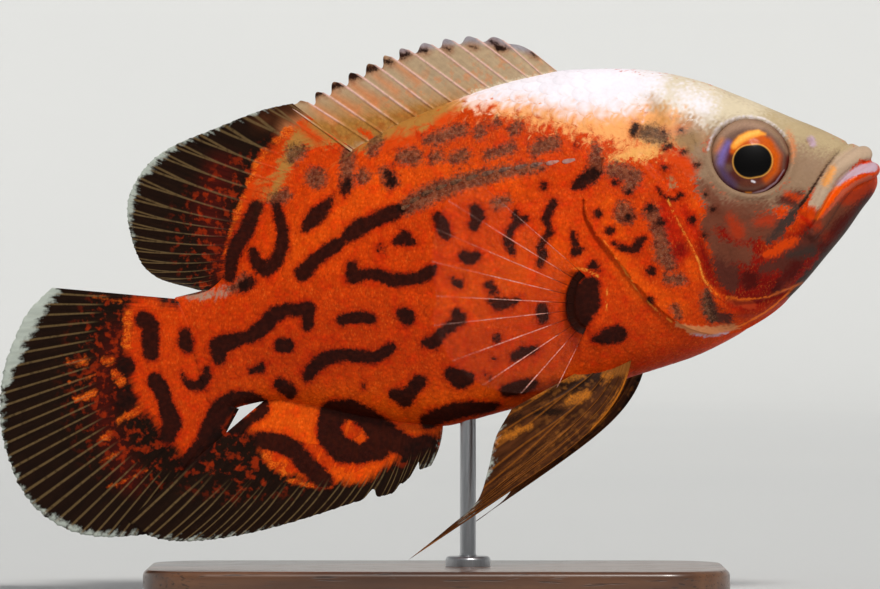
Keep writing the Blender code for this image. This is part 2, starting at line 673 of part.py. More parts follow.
def pectoral_fin(name, side):
    """A pectoral fin: a clear fan on a short fleshy stalk behind the gill cover."""
    at, crest = ray_columns(PECTORAL_RAYS)
    r = np.array([0, 0.08, 0.16, 0.4, 0.7, 1.0])[None, :]
    (top_s, top_h), (low_s, low_h) = PECTORAL_ROOT
    root = np.stack([top_s + (low_s - top_s) * at, top_h + (low_h - top_h) * at], axis=1)[:, None]
    tip = outline(PECTORAL_TIP)(at)[:, None]
    spread = np.maximum(r - PECTORAL_STALK_SHARE, 0) / (1 - PECTORAL_STALK_SHARE)
    seen = root + (tip - root) * spread[..., None]
    start = flank(root[..., 0], root[..., 1]) - PECTORAL_SUNK
    out = 1 - np.exp(-r / PECTORAL_STALK_SHARE)
    y = start + (PECTORAL_STALK + PECTORAL_SUNK) * out + PECTORAL_SPLAY * r
    middle = np.stack([seen[..., 0], side * y, seen[..., 1]], axis=-1)
    fleshy = (PAIRED_ROOT - MEMBRANE) / 2 * (1 - r) ** 4
    half = MEMBRANE / 2 + fleshy + PAIRED_RIDGE * crest[:, None] * (1 - r) ** 0.5
    fin = sheet(name, middle, half, "clear_fin")
    carve(fin, "DIFFERENCE", body_form("grown", grow=GAP))


def build_base():
    """A flat base with rounded corners and a bevelled top edge."""
    shape = bmesh.new()
    bmesh.ops.create_cube(shape, size=1)
    bmesh.ops.scale(shape, vec=(BASE_LENGTH * MM, BASE_DEPTH * MM, BASE_HEIGHT * MM), verts=shape.verts)
    bmesh.ops.translate(shape, vec=(0, 0, BASE_HEIGHT / 2 * MM), verts=shape.verts)
    half = BASE_HEIGHT / 2 * MM
    upright = [e for e in shape.edges if abs(e.verts[0].co.z - e.verts[1].co.z) > half]
    bmesh.ops.bevel(shape, geom=upright, offset=BASE_CORNER * MM, segments=6, profile=0.5, affect="EDGES")
    top = [e for e in shape.edges if all(v.co.z > half for v in e.verts)]
    bmesh.ops.bevel(shape, geom=top, offset=BASE_BEVEL * MM, segments=2, profile=0.5, affect="EDGES")
    mesh = bpy.data.meshes.new("stand_base")
    shape.to_mesh(mesh)
    shape.free()
    base = bpy.data.objects.new("stand_base", mesh)
    bpy.context.collection.objects.link(base)
    dress(base, "base")
    mesh.set_sharp_from_angle(angle=SHARP)


def build_rod():
    """The rod: a foot on the base, and a straight stem that follows the belly's shape at its top."""
    floor = BASE_HEIGHT + GAP
    middle = float(belly(ROD_S))
    x = SNOUT_X - ROD_S * math.cos(PITCH) - middle * math.sin(PITCH)
    top = SNOUT_Z - ROD_S * math.sin(PITCH) + middle * math.cos(PITCH) + ROD_OVERLAP
    shoulder = floor + ROD_FOOT_HEIGHT
    levels = [floor, shoulder - ROD_FOOT_BEVEL, shoulder, shoulder, top]
    radii = [ROD_FOOT_RADIUS, ROD_FOOT_RADIUS, ROD_FOOT_RADIUS - ROD_FOOT_BEVEL, ROD_RADIUS, ROD_RADIUS]
    path = [(x, float(sway(ROD_S)), level) for level in levels]
    rod = turned("stand_rod", path, radii, sides=16, finish="rod", hung=False)
    carve(rod, "DIFFERENCE", body_form("grown", grow=GAP))
    rod.data.set_sharp_from_angle(angle=SHARP)


def main():
    """Clears the scene and builds every sub-part."""
    for old in list(bpy.data.objects):
        bpy.data.objects.remove(old)
    fish = bpy.data.objects.new("fish", None)
    bpy.context.collection.objects.link(fish)
    fish.location = (SNOUT_X * MM, 0, SNOUT_Z * MM)
    fish.rotation_euler = (0, -PITCH, 0)
    bpy.context.view_layer.update()
    build_flesh()
    build_median_fins()
    pelvic_fin("pelvic_fin_right", -1, PELVIC_TIP)
    pelvic_fin("pelvic_fin_left", 1, FAR_PELVIC_TIP)
    pectoral_fin("pectoral_fin_right", -1)
    pectoral_fin("pectoral_fin_left", 1)
    build_base()
    build_rod()


main()
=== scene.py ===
"""The looks of a life-size oscar fish on its stand: skin, scales, fins, eyes, base and rod.

Lengths are millimetres, and MM turns them into metres as each mesh is made. The fish has a frame of
its own: s runs back from the snout, y to the fish's left and h up towards the dorsal fin. Marks and
tints are placed in pixels of the photograph's 880 x 589 frame, as its camera sees each point.
"""

import logging
import math
from collections.abc import Callable, Iterable, Mapping, Sequence
from dataclasses import dataclass, field
from enum import Enum
from typing import Any

import bpy
import numpy as np
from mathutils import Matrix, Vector


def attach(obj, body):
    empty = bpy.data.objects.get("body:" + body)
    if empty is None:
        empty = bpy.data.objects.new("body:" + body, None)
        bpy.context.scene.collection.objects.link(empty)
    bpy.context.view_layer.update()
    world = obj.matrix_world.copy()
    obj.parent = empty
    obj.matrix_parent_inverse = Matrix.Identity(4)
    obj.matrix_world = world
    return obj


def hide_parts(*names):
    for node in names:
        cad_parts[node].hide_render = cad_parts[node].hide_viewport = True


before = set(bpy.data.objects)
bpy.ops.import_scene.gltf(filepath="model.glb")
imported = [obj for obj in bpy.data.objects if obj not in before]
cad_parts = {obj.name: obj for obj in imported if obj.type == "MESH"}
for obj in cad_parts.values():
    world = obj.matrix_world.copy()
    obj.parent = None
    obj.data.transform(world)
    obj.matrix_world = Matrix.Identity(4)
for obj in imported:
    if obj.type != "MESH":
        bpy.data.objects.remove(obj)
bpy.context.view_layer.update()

Array = np.ndarray
Run = Sequence[tuple[float, ...]]
Curve = Callable[[Array], Array]

log = logging.getLogger("oscar")

MM = 0.001
PIECE_LIMIT = 200_000
RIDES_ON = "root"
PLATE_SHARP = math.radians(40)


class Side(Enum):
    """The fish's two sides, as the sign of y there."""

    RIGHT = -1
    LEFT = 1


def smooth(points: Run) -> Curve:
    """A monotone cubic through points.

    Each inner point's slope is the weighted harmonic mean of the slopes on its two sides, or 0 at a
    turn, and each stretch is the cubic with those slopes at its ends.

    Args:
        points: (position, value) pairs, by rising position.

    Returns:
        The value as a function of position, held constant past the ends.
    """
    at, value = np.array(points, float).T
    step = np.diff(at)
    slope = np.diff(value) / step
    tangent = np.concatenate([slope[:1], np.zeros(len(at) - 2), slope[-1:]])
    level = slope[:-1] * slope[1:] > 0
    before, after = 2 * step[1:] + step[:-1], step[1:] + 2 * step[:-1]
    safe = np.where(slope == 0, 1, slope)
    mean = (before + after) / (before / safe[:-1] + after / safe[1:])
    tangent[1:-1] = np.where(level, mean, 0)

    def curve(where: Array) -> Array:
        """The value at each position."""
        where = np.clip(np.asarray(where, float), at[0], at[-1])
        i = np.clip(np.searchsorted(at, where, side="right") - 1, 0, len(at) - 2)
        t = (where - at[i]) / step[i]
        start = value[i] * (1 + 2 * t) + tangent[i] * step[i] * t
        end = value[i + 1] * (3 - 2 * t) - tangent[i + 1] * step[i] * (1 - t)
        return start * (1 - t) ** 2 + end * t**2

    return curve


def blunt(points: Run) -> Curve:
    """A profile along the body, smooth on the root of s, so that it is blunt at the snout."""
    curve = smooth([(math.sqrt(s), value) for s, value in points])
    return lambda s: curve(np.sqrt(np.maximum(s, 0)))


def outline(points: Run) -> Curve:
    """A smooth curve in side view.

    Args:
        points: the (s, h) points that it passes through.

    Returns:
        The (s, h) place as a function of the share of its length, from 0 to 1.
    """
    corners = np.array(points, float)
    run = np.concatenate([[0], np.cumsum(np.linalg.norm(np.diff(corners, axis=0), axis=1))])
    run /= run[-1]
    along = smooth(list(zip(run, corners[:, 0])))
    up = smooth(list(zip(run, corners[:, 1])))
    return lambda t: np.stack([along(t), up(t)], axis=-1)


def ease(value: Array) -> Array:
    """0 below 0, 1 above 1, and a smooth cubic between."""
    value = np.clip(value, 0, 1)
    return value * value * (3 - 2 * value)


def nearest(points: Array, runs: Iterable[Run]) -> Array:
    """Signed distance in a plane to round-ended strokes.

    A run's legs join its (x, y, radius) points, and the radius changes evenly along a leg. The
    distance to a leg is the distance to its closest point less the radius there, and the result is
    the least over all legs. A run of one point is a disc.

    Args:
        points: places in the plane, as an array (..., 2).
        runs: the strokes.

    Returns:
        The distance for each place, negative inside a stroke.
    """
    best = np.full(points.shape[:-1], 1e3)
    for run in runs:
        stops = np.array(run, float)
        legs = zip(stops, stops[1:]) if len(stops) > 1 else [(stops[0], stops[0])]
        for first, last in legs:
            reach = last[:2] - first[:2]
            offset = points - first[:2]
            share = np.clip(offset @ reach / max(float(reach @ reach), 1e-9), 0, 1)
            gap = np.linalg.norm(offset - share[..., None] * reach, axis=-1)
            best = np.minimum(best, gap - (first[2] + share * (last[2] - first[2])))
    return best


def widths(run: Run, width: float) -> Run:
    """The same run of (x, y) points with one radius at each."""
    return [(*point[:2], width) for point in run]


class Wire:
    """One value in a material, on which Python arithmetic adds Math nodes."""

    def __init__(self, recipe: "Recipe", socket: bpy.types.NodeSocket) -> None:
        """Wraps an output socket of one of the recipe's nodes."""
        self.recipe = recipe
        self.socket = socket

    def maths(self, operation: str, *values: Any, clamp: bool = False) -> "Wire":
        """A Math node on these values."""
        settings = {"operation": operation, "use_clamp": clamp}
        return self.recipe.node("ShaderNodeMath", settings, dict(enumerate(values)))

    def __add__(self, other: Any) -> "Wire":
        """self + other"""
        return self.maths("ADD", self, other)

    def __sub__(self, other: Any) -> "Wire":
        """self - other"""
        return self.maths("SUBTRACT", self, other)

    def __rsub__(self, other: Any) -> "Wire":
        """other - self"""
        return self.maths("SUBTRACT", other, self)

    def __mul__(self, other: Any) -> "Wire":
        """self * other"""
        return self.maths("MULTIPLY", self, other)

    def __truediv__(self, other: Any) -> "Wire":
        """self / other"""
        return self.maths("DIVIDE", self, other)

    def __pow__(self, other: Any) -> "Wire":
        """self ** other"""
        return self.maths("POWER", self, other)

    __radd__ = __add__
    __rmul__ = __mul__


class Recipe:
    """The nodes of one material, round a Principled shader."""

    def __init__(self, name: str) -> None:
        """Starts a material of this name with its shader and Object coordinates."""
        self.material = bpy.data.materials.new(name)
        self.material.use_nodes = True
        self.tree = self.material.node_tree
        self.shader = self.tree.nodes["Principled BSDF"]
        self.place = self.node("ShaderNodeTexCoord", output="Object")

    def node(self, kind: str, settings: Mapping[str, Any] | None = None,
             sockets: Mapping[Any, Any] | None = None, output: Any = 0) -> Wire:
        """Adds a node.

        Args:
            kind: the node's type.
            settings: its properties, which are set first. "stops" gives a ramp's (place, colour)s.
            sockets: the value or Wire for each input, by name or number.
            output: the name or number of the output to return.

        Returns:
            That output.
        """
        made = self.tree.nodes.new(kind)
        for key, value in (settings or {}).items():
            if key == "stops":
                self.stops(made.color_ramp, value)
            else:
                setattr(made, key, value)
        for key, value in (sockets or {}).items():
            self.feed(made.inputs[key], value)
        return Wire(self, made.outputs[output])

    def stops(self, ramp: bpy.types.ColorRamp, stops: Sequence[tuple[float, Any]]) -> None:
        """Gives a ramp its (place, colour) stops."""
        while len(ramp.elements) < len(stops):
            ramp.elements.new(1.0)
        for element, (place, colour) in zip(ramp.elements, stops):
            element.position = place
            element.color = colour

    def feed(self, socket: bpy.types.NodeSocket, value: Any) -> None:
        """Links a Wire to an input, or sets its plain value."""
        if isinstance(value, Wire):
            self.tree.links.new(value.socket, socket)
        else:
            socket.default_value = value

    def painted(self, name: str, output: str = "Fac") -> Wire:
        """The mesh's own attribute of this name."""
        settings = {"attribute_type": "GEOMETRY", "attribute_name": name}
        return self.node("ShaderNodeAttribute", settings, output=output)

    def noise(self, size: float, detail: float = 2.0, stretch: Sequence[float] = (1, 1, 1)) -> Wire:
        """Noise from 0 to 1 with features about size mm across, longer where stretch is above 1."""
        scale = [1 / (size * MM * length) for length in stretch]
        place = self.node("ShaderNodeMapping", {"vector_type": "POINT"}, {"Vector": self.place, "Scale": scale})
        return self.node("ShaderNodeTexNoise", None, {"Vector": place, "Scale": 1.0, "Detail": detail})

    def cells(self, size: float) -> Wire:
        """How far a point is from the middle of its cell, in cells of about size mm."""
        scale = 1 / (size * MM)
        return self.node("ShaderNodeTexVoronoi", None, {"Vector": self.place, "Scale": scale})

    def wave(self, value: Wire, period: float) -> Wire:
        """A sine from 0 to 1 of a length in mm, one wave for each period."""
        return value.maths("SINE", value * (2 * math.pi / period)) * 0.5 + 0.5

    def streaks(self, across: float, along: float, detail: float = 2.0) -> Wire:
        """Noise that runs out along a fin's rays.

        Args:
            across: how many features there are from one ray to the next.
            along: how many there are to a mm on the way out.
            detail: how many finer layers it has.
        """
        place = self.node("ShaderNodeCombineXYZ", None, {0: self.painted("place") * across,
                                                         1: self.painted("out") * along})
        return self.node("ShaderNodeTexNoise", None, {"Vector": place, "Scale": 1.0, "Detail": detail})

    def tinted(self, colour: Any, shade: Wire) -> Wire:
        """A colour times a grey."""
        grey = self.node("ShaderNodeCombineColor", None, {0: shade, 1: shade, 2: shade})
        return self.mix(1.0, colour, grey, "MULTIPLY")

    def ramp(self, value: Wire, low: float, high: float, start: float = 0.0, end: float = 1.0) -> Wire:
        """A smooth step of a value: start below low, end above high."""
        settings = {"interpolation_type": "SMOOTHSTEP"}
        return self.node("ShaderNodeMapRange", settings, {0: value, 1: low, 2: high, 3: start, 4: end})

    def mix(self, share: Any, first: Any, second: Any, blend: str = "MIX") -> Wire:
        """One colour over another by a share."""
        settings = {"data_type": "RGBA", "blend_type": blend}
        return self.node("ShaderNodeMix", settings, {0: share, 6: first, 7: second}, output=2)

    def finish(self, bump: Wire | None = None, height: float = 0.0, **sockets: Any) -> bpy.types.Material:
        """Sets the shader's sockets.

        Args:
            bump: the height that a Bump node reads, if any.
            height: how deep that bump is, in mm.
            sockets: the shader's inputs by name, with _ for each space.

        Returns:
            The material.
        """
        if bump is not None:
            sockets["Normal"] = self.node("ShaderNodeBump", None, {"Distance": height * MM, "Height": bump})
        for name, value in sockets.items():
            self.feed(self.shader.inputs[name.replace("_", " ")], value)
        return self.material


def linear(red: float, green: float, blue: float) -> tuple[float, float, float, float]:
    """A colour as the screen shows it, 0 to 255, as the light that a shader wants."""
    share = np.array([red, green, blue]) / 255
    light = np.where(share <= 0.04045, share / 12.92, ((share + 0.055) / 1.055) ** 2.4)
    return (*(float(value) for value in light), 1.0)


class Tint(Enum):
    """The fish's colours, as the screen shows them."""

    ORANGE = (214, 64, 2)
    BRIGHT_ORANGE = (240, 88, 4)
    GOLD = (252, 160, 58)
    RUST = (184, 50, 2)
    RED = (192, 34, 2)
    DEEP_RED = (138, 16, 3)
    MAROON = (84, 14, 7)
    # Lilac white is a painted highlight colour; on the nape it is also the back's own pale colour.
    LILAC_WHITE_HIGHLIGHT = (250, 243, 251)
    PEACH = (250, 170, 100)
    STRAW = (240, 172, 92)
    CREAM = (222, 206, 176)
    OLIVE_TAN = (178, 122, 56)
    SNOUT = (154, 124, 98)
    PLATE = (192, 164, 138)
    TAUPE = (98, 60, 42)
    UMBER = (46, 15, 7)
    INK = (26, 9, 5)
    SMOKE = (104, 66, 34)
    VEIL = (168, 134, 112)
    PEWTER = (112, 84, 72)
    LILAC = (196, 166, 180)
    PINK = (190, 86, 60)
    ROSE = (222, 178, 166)
    MARGIN = (196, 204, 194)
    SAGE = (158, 170, 140)
    AMBER = (190, 110, 28)
    SLATE = (150, 150, 164)
    DARK_FIN = (28, 13, 5)
    BROWN_FIN = (72, 36, 16)
    VIOLET = (130, 112, 196)
    DEEP_VIOLET = (82, 60, 122)
    IRIS_BROWN = (88, 40, 34)
    IRIS_ORANGE = (200, 84, 10)
    IRIS_GOLD = (255, 186, 84)
    BLACK = (8, 7, 7)
    FAWN = (184, 158, 126)
    SALMON = (214, 132, 82)
    BRONZE = (128, 76, 28)
    OLIVE_GREY = (124, 100, 64)
    PORE = (184, 132, 122)
    MAUVE = (112, 60, 42)
    DUSK = (88, 40, 30)
    BRICK = (164, 50, 20)
    OLIVE_BROWN = (158, 122, 82)
    OLIVE_BEIGE = (188, 166, 128)
    ASH = (66, 48, 42)
    FLAME = (244, 112, 22)
    PELVIC = (70, 36, 14)

    @property
    def light(self) -> tuple[float, float, float, float]:
        """The colour as the light that a shader wants."""
        return linear(*self.value)


@dataclass(frozen=True)
class Photo:
    """How the photograph sees the model: a level camera that looks along +y."""

    width: float = 880.0
    height: float = 589.0
    pixel: float = 0.2
    origin: tuple[float, float] = (436.5, 596.0)
    distance: float = 1400.0
    sensor: float = 36.0

    @property
    def aim(self) -> tuple[float, float]:
        """The world x and z at the picture's centre."""
        across, down = self.origin
        return (self.width / 2 - across) * self.pixel, (down - self.height / 2) * self.pixel

    @property
    def lens(self) -> float:
        """The focal length that gives this pixel size at the fish's middle plane."""
        return self.sensor * self.distance / (self.width * self.pixel)

    def pixels(self, place: Array) -> Array:
        """Where the camera sees world points.

        A point's offset from the aim grows by distance / (distance + y), and is then counted in
        pixels from the picture's centre.

        Args:
            place: world points in mm, as an array (..., 3).

        Returns:
            Their (x, y) pixels, as an array (..., 2).
        """
        x, z = self.aim
        nearer = self.distance / (self.distance + place[..., 1]) / self.pixel
        across = self.width / 2 + (place[..., 0] - x) * nearer
        return np.stack([across, self.height / 2 - (place[..., 2] - z) * nearer], axis=-1)


@dataclass(frozen=True)
class Pose:
    """How the fish hangs above the stand: nose-up, its tail swung a little to its left."""

    pitch: float = math.radians(18)
    snout_x: float = 87.5
    snout_z: float = 86.0
    sway: float = 8.0
    sway_start: float = 80.0
    tail_tip: float = 184.0

    def swing(self, s: Array) -> Array:
        """How far the body has swung left at s: the square of the share of the way to the tail's tip."""
        return self.sway * (np.maximum(s - self.sway_start, 0) / (self.tail_tip - self.sway_start)) ** 2

    def place(self, s: Array, y: Array, h: Array) -> Array:
        """World points of places in the fish's frame, turned by the pitch and set at the snout."""
        cos, sin = math.cos(self.pitch), math.sin(self.pitch)
        x = self.snout_x - s * cos - h * sin
        return np.stack(np.broadcast_arrays(x, y, self.snout_z - s * sin + h * cos), axis=-1)


PHOTO = Photo()
POSE = Pose()


def traced(pixels: Run) -> tuple[tuple[float, float], ...]:
    """The (s, h) places in the fish's middle plane that the camera sees at photo pixels.

    Each pixel is first read at the picture's own plane. The tail's swing moves a place back by a
    little, and a second pass lets the pixel's offset from the aim grow by as much.
    """
    across, down = np.array(pixels, float).T
    x, z = PHOTO.aim
    cos, sin = math.cos(POSE.pitch), math.sin(POSE.pitch)
    further = np.ones(len(across))
    for _ in range(2):
        back = POSE.snout_x - x - (across - PHOTO.width / 2) * PHOTO.pixel * further
        rise = z - POSE.snout_z - (down - PHOTO.height / 2) * PHOTO.pixel * further
        s, h = back * cos - rise * sin, back * sin + rise * cos
        further = 1 + POSE.swing(s) / PHOTO.distance
    return tuple(zip(s, h))


def stations(points: Run) -> Curve:
    """A smooth (s, h) curve through points that are evenly spaced on a share from 0 to 1."""
    corners = np.array(points, float)
    share = np.linspace(0, 1, len(corners))
    along, up = smooth(list(zip(share, corners[:, 0]))), smooth(list(zip(share, corners[:, 1])))
    return lambda t: np.stack([along(t), up(t)], axis=-1)


@dataclass
class Surface:
    """A mesh in the making: world points in mm, faces, and what is painted on the points."""

    points: Array
    faces: list[Array]
    paint: dict[str, Array] = field(default_factory=dict)
    uv: Array | None = None

    @staticmethod
    def sheet(points: Array, around: bool = False) -> "Surface":
        """A surface on a grid of points (rows, columns, 3), closed round its columns if asked."""
        rows, columns = points.shape[:2]
        index = np.arange(rows * columns).reshape(rows, columns)
        if around:
            index = np.concatenate([index, index[:, :1]], axis=1)
        quads = np.stack([index[:-1, :-1], index[1:, :-1], index[1:, 1:], index[:-1, 1:]], axis=-1)
        return Surface(points.reshape(-1, 3), [quads.reshape(-1, 4)])

    @staticmethod
    def many(points: Array) -> "Surface":
        """Many like patches in one surface, from points (patches, rows, columns, 3)."""
        patches, rows, columns = points.shape[:3]
        index = np.arange(patches * rows * columns).reshape(patches, rows, columns)
        quads = [index[:, :-1, :-1], index[:, 1:, :-1], index[:, 1:, 1:], index[:, :-1, 1:]]
        return Surface(points.reshape(-1, 3), [np.stack(quads, axis=-1).reshape(-1, 4)])

    def cap(self, ring: Array, pole: Array) -> None:
        """Closes a sheet's first ring, or its last one turned round, with a fan to one new point."""
        fan = np.stack([ring, np.roll(ring, -1), np.full(len(ring), len(self.points))], axis=-1)
        self.points = np.concatenate([self.points, np.reshape(pole, (1, 3))])
        self.faces.append(fan)

    def outward(self) -> None:
        """Turns a closed surface's faces outwards, by the sign of the volume that they enclose."""
        centre = self.points.mean(axis=0)
        volume = 0.0
        for faces in self.faces:
            corners = self.points[faces] - centre
            for i in range(1, faces.shape[1] - 1):
                cross = np.cross(corners[:, i], corners[:, i + 1])
                volume += float(np.sum(corners[:, 0] * cross))
        if volume < 0:
            self.faces = [faces[:, ::-1] for faces in self.faces]

    def build(self, name: str, material: bpy.types.Material, slot: str,
              replaces: Sequence[str] = (), sharp: float | None = None) -> bpy.types.Object:
        """Puts the surface into a mesh object that rides on the model.

        Args:
            name: the piece's name.
            material: its finish.
            slot: not used.
            replaces: the CAD nodes that it stands for.
            sharp: the angle in radians past which an edge is shaded sharp.

        Returns:
            The object.
        """
        mesh = bpy.data.meshes.new(name)
        loops = np.concatenate([faces.reshape(-1) for faces in self.faces]).astype(np.int32)
        sizes = np.concatenate([np.full(len(faces), faces.shape[1]) for faces in self.faces])
        starts = np.concatenate([[0], np.cumsum(sizes)[:-1]]).astype(np.int32)
        mesh.vertices.add(len(self.points))
        mesh.vertices.foreach_set("co", (self.points * MM).astype(np.float32).reshape(-1))
        mesh.loops.add(len(loops))
        mesh.loops.foreach_set("vertex_index", loops)
        mesh.polygons.add(len(sizes))
        mesh.polygons.foreach_set("loop_start", starts)
        mesh.update(calc_edges=True)
        for key, value in self.paint.items():
            if value.ndim == 2:
                layer = mesh.attributes.new(key, "FLOAT_COLOR", "POINT")
                layer.data.foreach_set("color", value.astype(np.float32).reshape(-1))
            else:
                layer = mesh.attributes.new(key, "FLOAT", "POINT")
                layer.data.foreach_set("value", value.astype(np.float32))
        if self.uv is not None:
            unwrap = mesh.uv_layers.new(name="OFBake")
            unwrap.data.foreach_set("uv", self.uv[loops].astype(np.float32).reshape(-1))
        mesh.shade_smooth()
        if sharp is not None:
            mesh.set_sharp_from_angle(angle=sharp)
        mesh.materials.append(material)
        made = bpy.data.objects.new(name, mesh)
        bpy.context.scene.collection.objects.link(made)
        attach(made, RIDES_ON)
        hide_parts(*replaces)
        triangles = int(np.sum(sizes - 2))
        log.info("%s: %d triangles", name, triangles)
        if triangles > PIECE_LIMIT:
            log.warning("%s has more triangles than one piece may have", name)
        return made


@dataclass(frozen=True)
class Body:
    """The form of the fish without its fins: a loft of ovals between a back and a belly profile."""

    length: float = 141.0
    widest_level: float = 0.46
    back_roundness: float = 1.8
    belly_roundness: float = 2.15
    back: Curve = blunt([
        (0, -1), (0.7, 3.4), (1.7, 4.7), (3.5, 6.2), (8.3, 10.7), (12.4, 14.1), (21.2, 21.6), (28, 27.0),
        (38.5, 32.8), (47.4, 35.8), (54.4, 37.6), (68.7, 38.8), (84.8, 38.0), (95, 36.3), (105.5, 33.6),
        (115, 29.8), (123, 25.2), (130, 20.2), (134.5, 17.8), (141, 18.2),
    ])
    belly: Curve = blunt([
        (0, -1), (0.4, -3.4), (1.4, -4.8), (4.9, -7.4), (9.7, -11), (14.4, -14), (22.3, -18.8),
        (29.5, -22.0), (36.7, -24.4), (48.5, -25.8), (66, -25.6), (84.8, -23.8), (96, -23.2),
        (104, -20.4), (112, -16.6), (122, -11), (131, -7), (136, -6.6), (141, -8),
    ])
    half_width: Curve = blunt([
        (0, 0), (0.7, 3.3), (1.7, 4.7), (3.5, 6.0), (8.3, 8.0), (12.4, 9.1), (21.2, 10.8), (28, 11.9),
        (38.5, 13.0), (54, 13.8), (68.7, 13.4), (84.8, 11.7), (105.5, 8.2), (123, 5.0), (134.5, 3.0),
        (141, 2.1),
    ])
    gill_edge: Run = (
        (50.0, 34.0), (51.0, 22.0), (52.6, 15.5), (56.6, 12.6), (58.3, 8.9), (57.6, 4.4), (55.7, -0.6),
        (53.3, -6.9), (50.6, -12.9), (47.2, -17.8), (43.2, -21.0), (38.1, -22.9), (31.5, -22.3),
    )
    gill_edge_below: float = 26.0
    angle_bunching: float = 0.225

    def widest(self, s: Array) -> Array:
        """The height at which the body is widest."""
        return self.belly(s) + self.widest_level * (self.back(s) - self.belly(s))

    def section(self, s: Array, angle: Array) -> tuple[Array, Array]:
        """The (y, h) of the oval at s.

        Each half is a superellipse: its height goes with the cosine and its width with the sine of
        the angle from the back's ridge, each raised to 2 over the half's roundness.
        """
        cos, sin = np.cos(angle), np.sin(angle)
        upper = cos > 0
        power = 2 / np.where(upper, self.back_roundness, self.belly_roundness)
        middle = self.widest(s)
        reach = np.where(upper, self.back(s) - middle, middle - self.belly(s))
        h = middle + np.sign(cos) * reach * np.abs(cos) ** power
        return -np.sign(sin) * self.half_width(s) * np.abs(sin) ** power, h

    def flank(self, s: Array, h: Array) -> Array:
        """Half the body's width at s and height h, from the same oval."""
        middle = self.widest(s)
        upper = h > middle
        reach = np.where(upper, self.back(s) - middle, middle - self.belly(s))
        roundness = np.where(upper, self.back_roundness, self.belly_roundness)
        share = np.clip(np.abs(h - middle) / np.maximum(reach, 1e-6), 0, 1)
        return self.half_width(s) * (1 - share**roundness) ** (1 / roundness)

    def angle_at(self, s: Array, h: Array) -> Array:
        """The oval's angle on the right side at s and height h."""
        middle = self.widest(s)
        upper = h > middle
        reach = np.where(upper, self.back(s) - middle, middle - self.belly(s))
        share = np.clip((h - middle) / reach, -1, 1)
        power = np.where(upper, self.back_roundness, self.belly_roundness) / 2
        return np.arccos(np.sign(share) * np.abs(share) ** power)

    def bunch(self, share: Array) -> Array:
        """The angle for a share of the way round, spaced evenly along the girth of a deep oval."""
        turn = 2 * math.pi * share
        return turn + self.angle_bunching * np.sin(2 * turn)

    def gill_opening(self, angle: Array) -> Array:
        """The s at which the gill cover's rear edge crosses each angle, alike on both sides."""
        s, h = np.array(self.gill_edge, float).T
        crossing = list(zip(self.angle_at(s, h), s)) + [(math.pi, self.gill_edge_below)]
        folded = math.pi - np.abs(np.mod(angle, 2 * math.pi) - math.pi)
        return smooth([(0.0, self.gill_edge[0][0]), *crossing])(folded)


@dataclass(frozen=True)
class Crease:
    """A long low swelling or groove of the head, along a run of (s, h) points."""

    run: Run
    width: float
    height: float

    def lift(self, seen: Array) -> Array:
        """Its height at places in side view: a bell curve of the distance to the run."""
        distance = nearest(seen, [widths(self.run, 0.0)])
        return self.height * np.exp(-((distance / self.width) ** 2))


@dataclass(frozen=True)
class Lip:
    """A lip that stands out of the snout as the side of a tube."""

    run: Run
    front_radius: float
    corner_radius: float
    sunk: float = 0.35

    def lift(self, seen: Array) -> Array:
        """Its height: the tube's round top over the distance to the lip's line, less what is sunk."""
        share = np.linspace(0, 1, 14)
        line = outline(self.run)(share)
        best = np.zeros(seen.shape[:-1])
        for i in range(len(share) - 1):
            radius = self.front_radius + (self.corner_radius - self.front_radius) * share[i]
            distance = nearest(seen, [widths(line[i:i + 2], 0.0)])
            top = np.sqrt(np.maximum(radius**2 - distance**2, 0)) - self.sunk * radius
            best = np.maximum(best, top)
        return best


@dataclass(frozen=True)
class EyeSocket:
    """Where an eye sits in the head, and its own two axes and outward direction."""

    s: float = 23.5
    h: float = 9.3
    radius: float = 7.9
    dome: float = 4.2
    sunk: float = 1.9
    turn_up: float = math.radians(15)
    turn_forward: float = math.radians(8)
    rim: float = 0.45
    rim_offset: float = 0.7
    rim_width: float = 0.6
    depth: float = 2.6

    def axes(self, body: Body, side: Side) -> tuple[Array, Array, Array, Array]:
        """The eye's centre, and its unit vectors across, up and out of the head."""
        centre = np.array([self.s, side.value * (float(body.flank(self.s, self.h)) - self.sunk), self.h])
        level = math.cos(self.turn_forward) * math.cos(self.turn_up)
        out = np.array([-math.sin(self.turn_forward), side.value * level, math.sin(self.turn_up)])
        out /= np.linalg.norm(out)
        across = np.cross(out, (0, 0, 1))
        across /= np.linalg.norm(across)
        return centre, across, np.cross(across, out), out

    def lift(self, body: Body, points: Array) -> Array:
        """The raised rim round the eye and the hollow inside it, from the distance to the eye's axis."""
        total = np.zeros(points.shape[:-1])
        for side in Side:
            centre, across, up, _ = self.axes(body, side)
            offset = points - centre
            beside = points[..., 1] * side.value > 0
            away = np.where(beside, np.hypot(offset @ across, offset @ up), 1e3)
            total += self.rim * np.exp(-(((away - self.radius - self.rim_offset) / self.rim_width) ** 2))
            total -= self.depth * ease((self.radius + 0.25 - away) / 0.9)
        return total


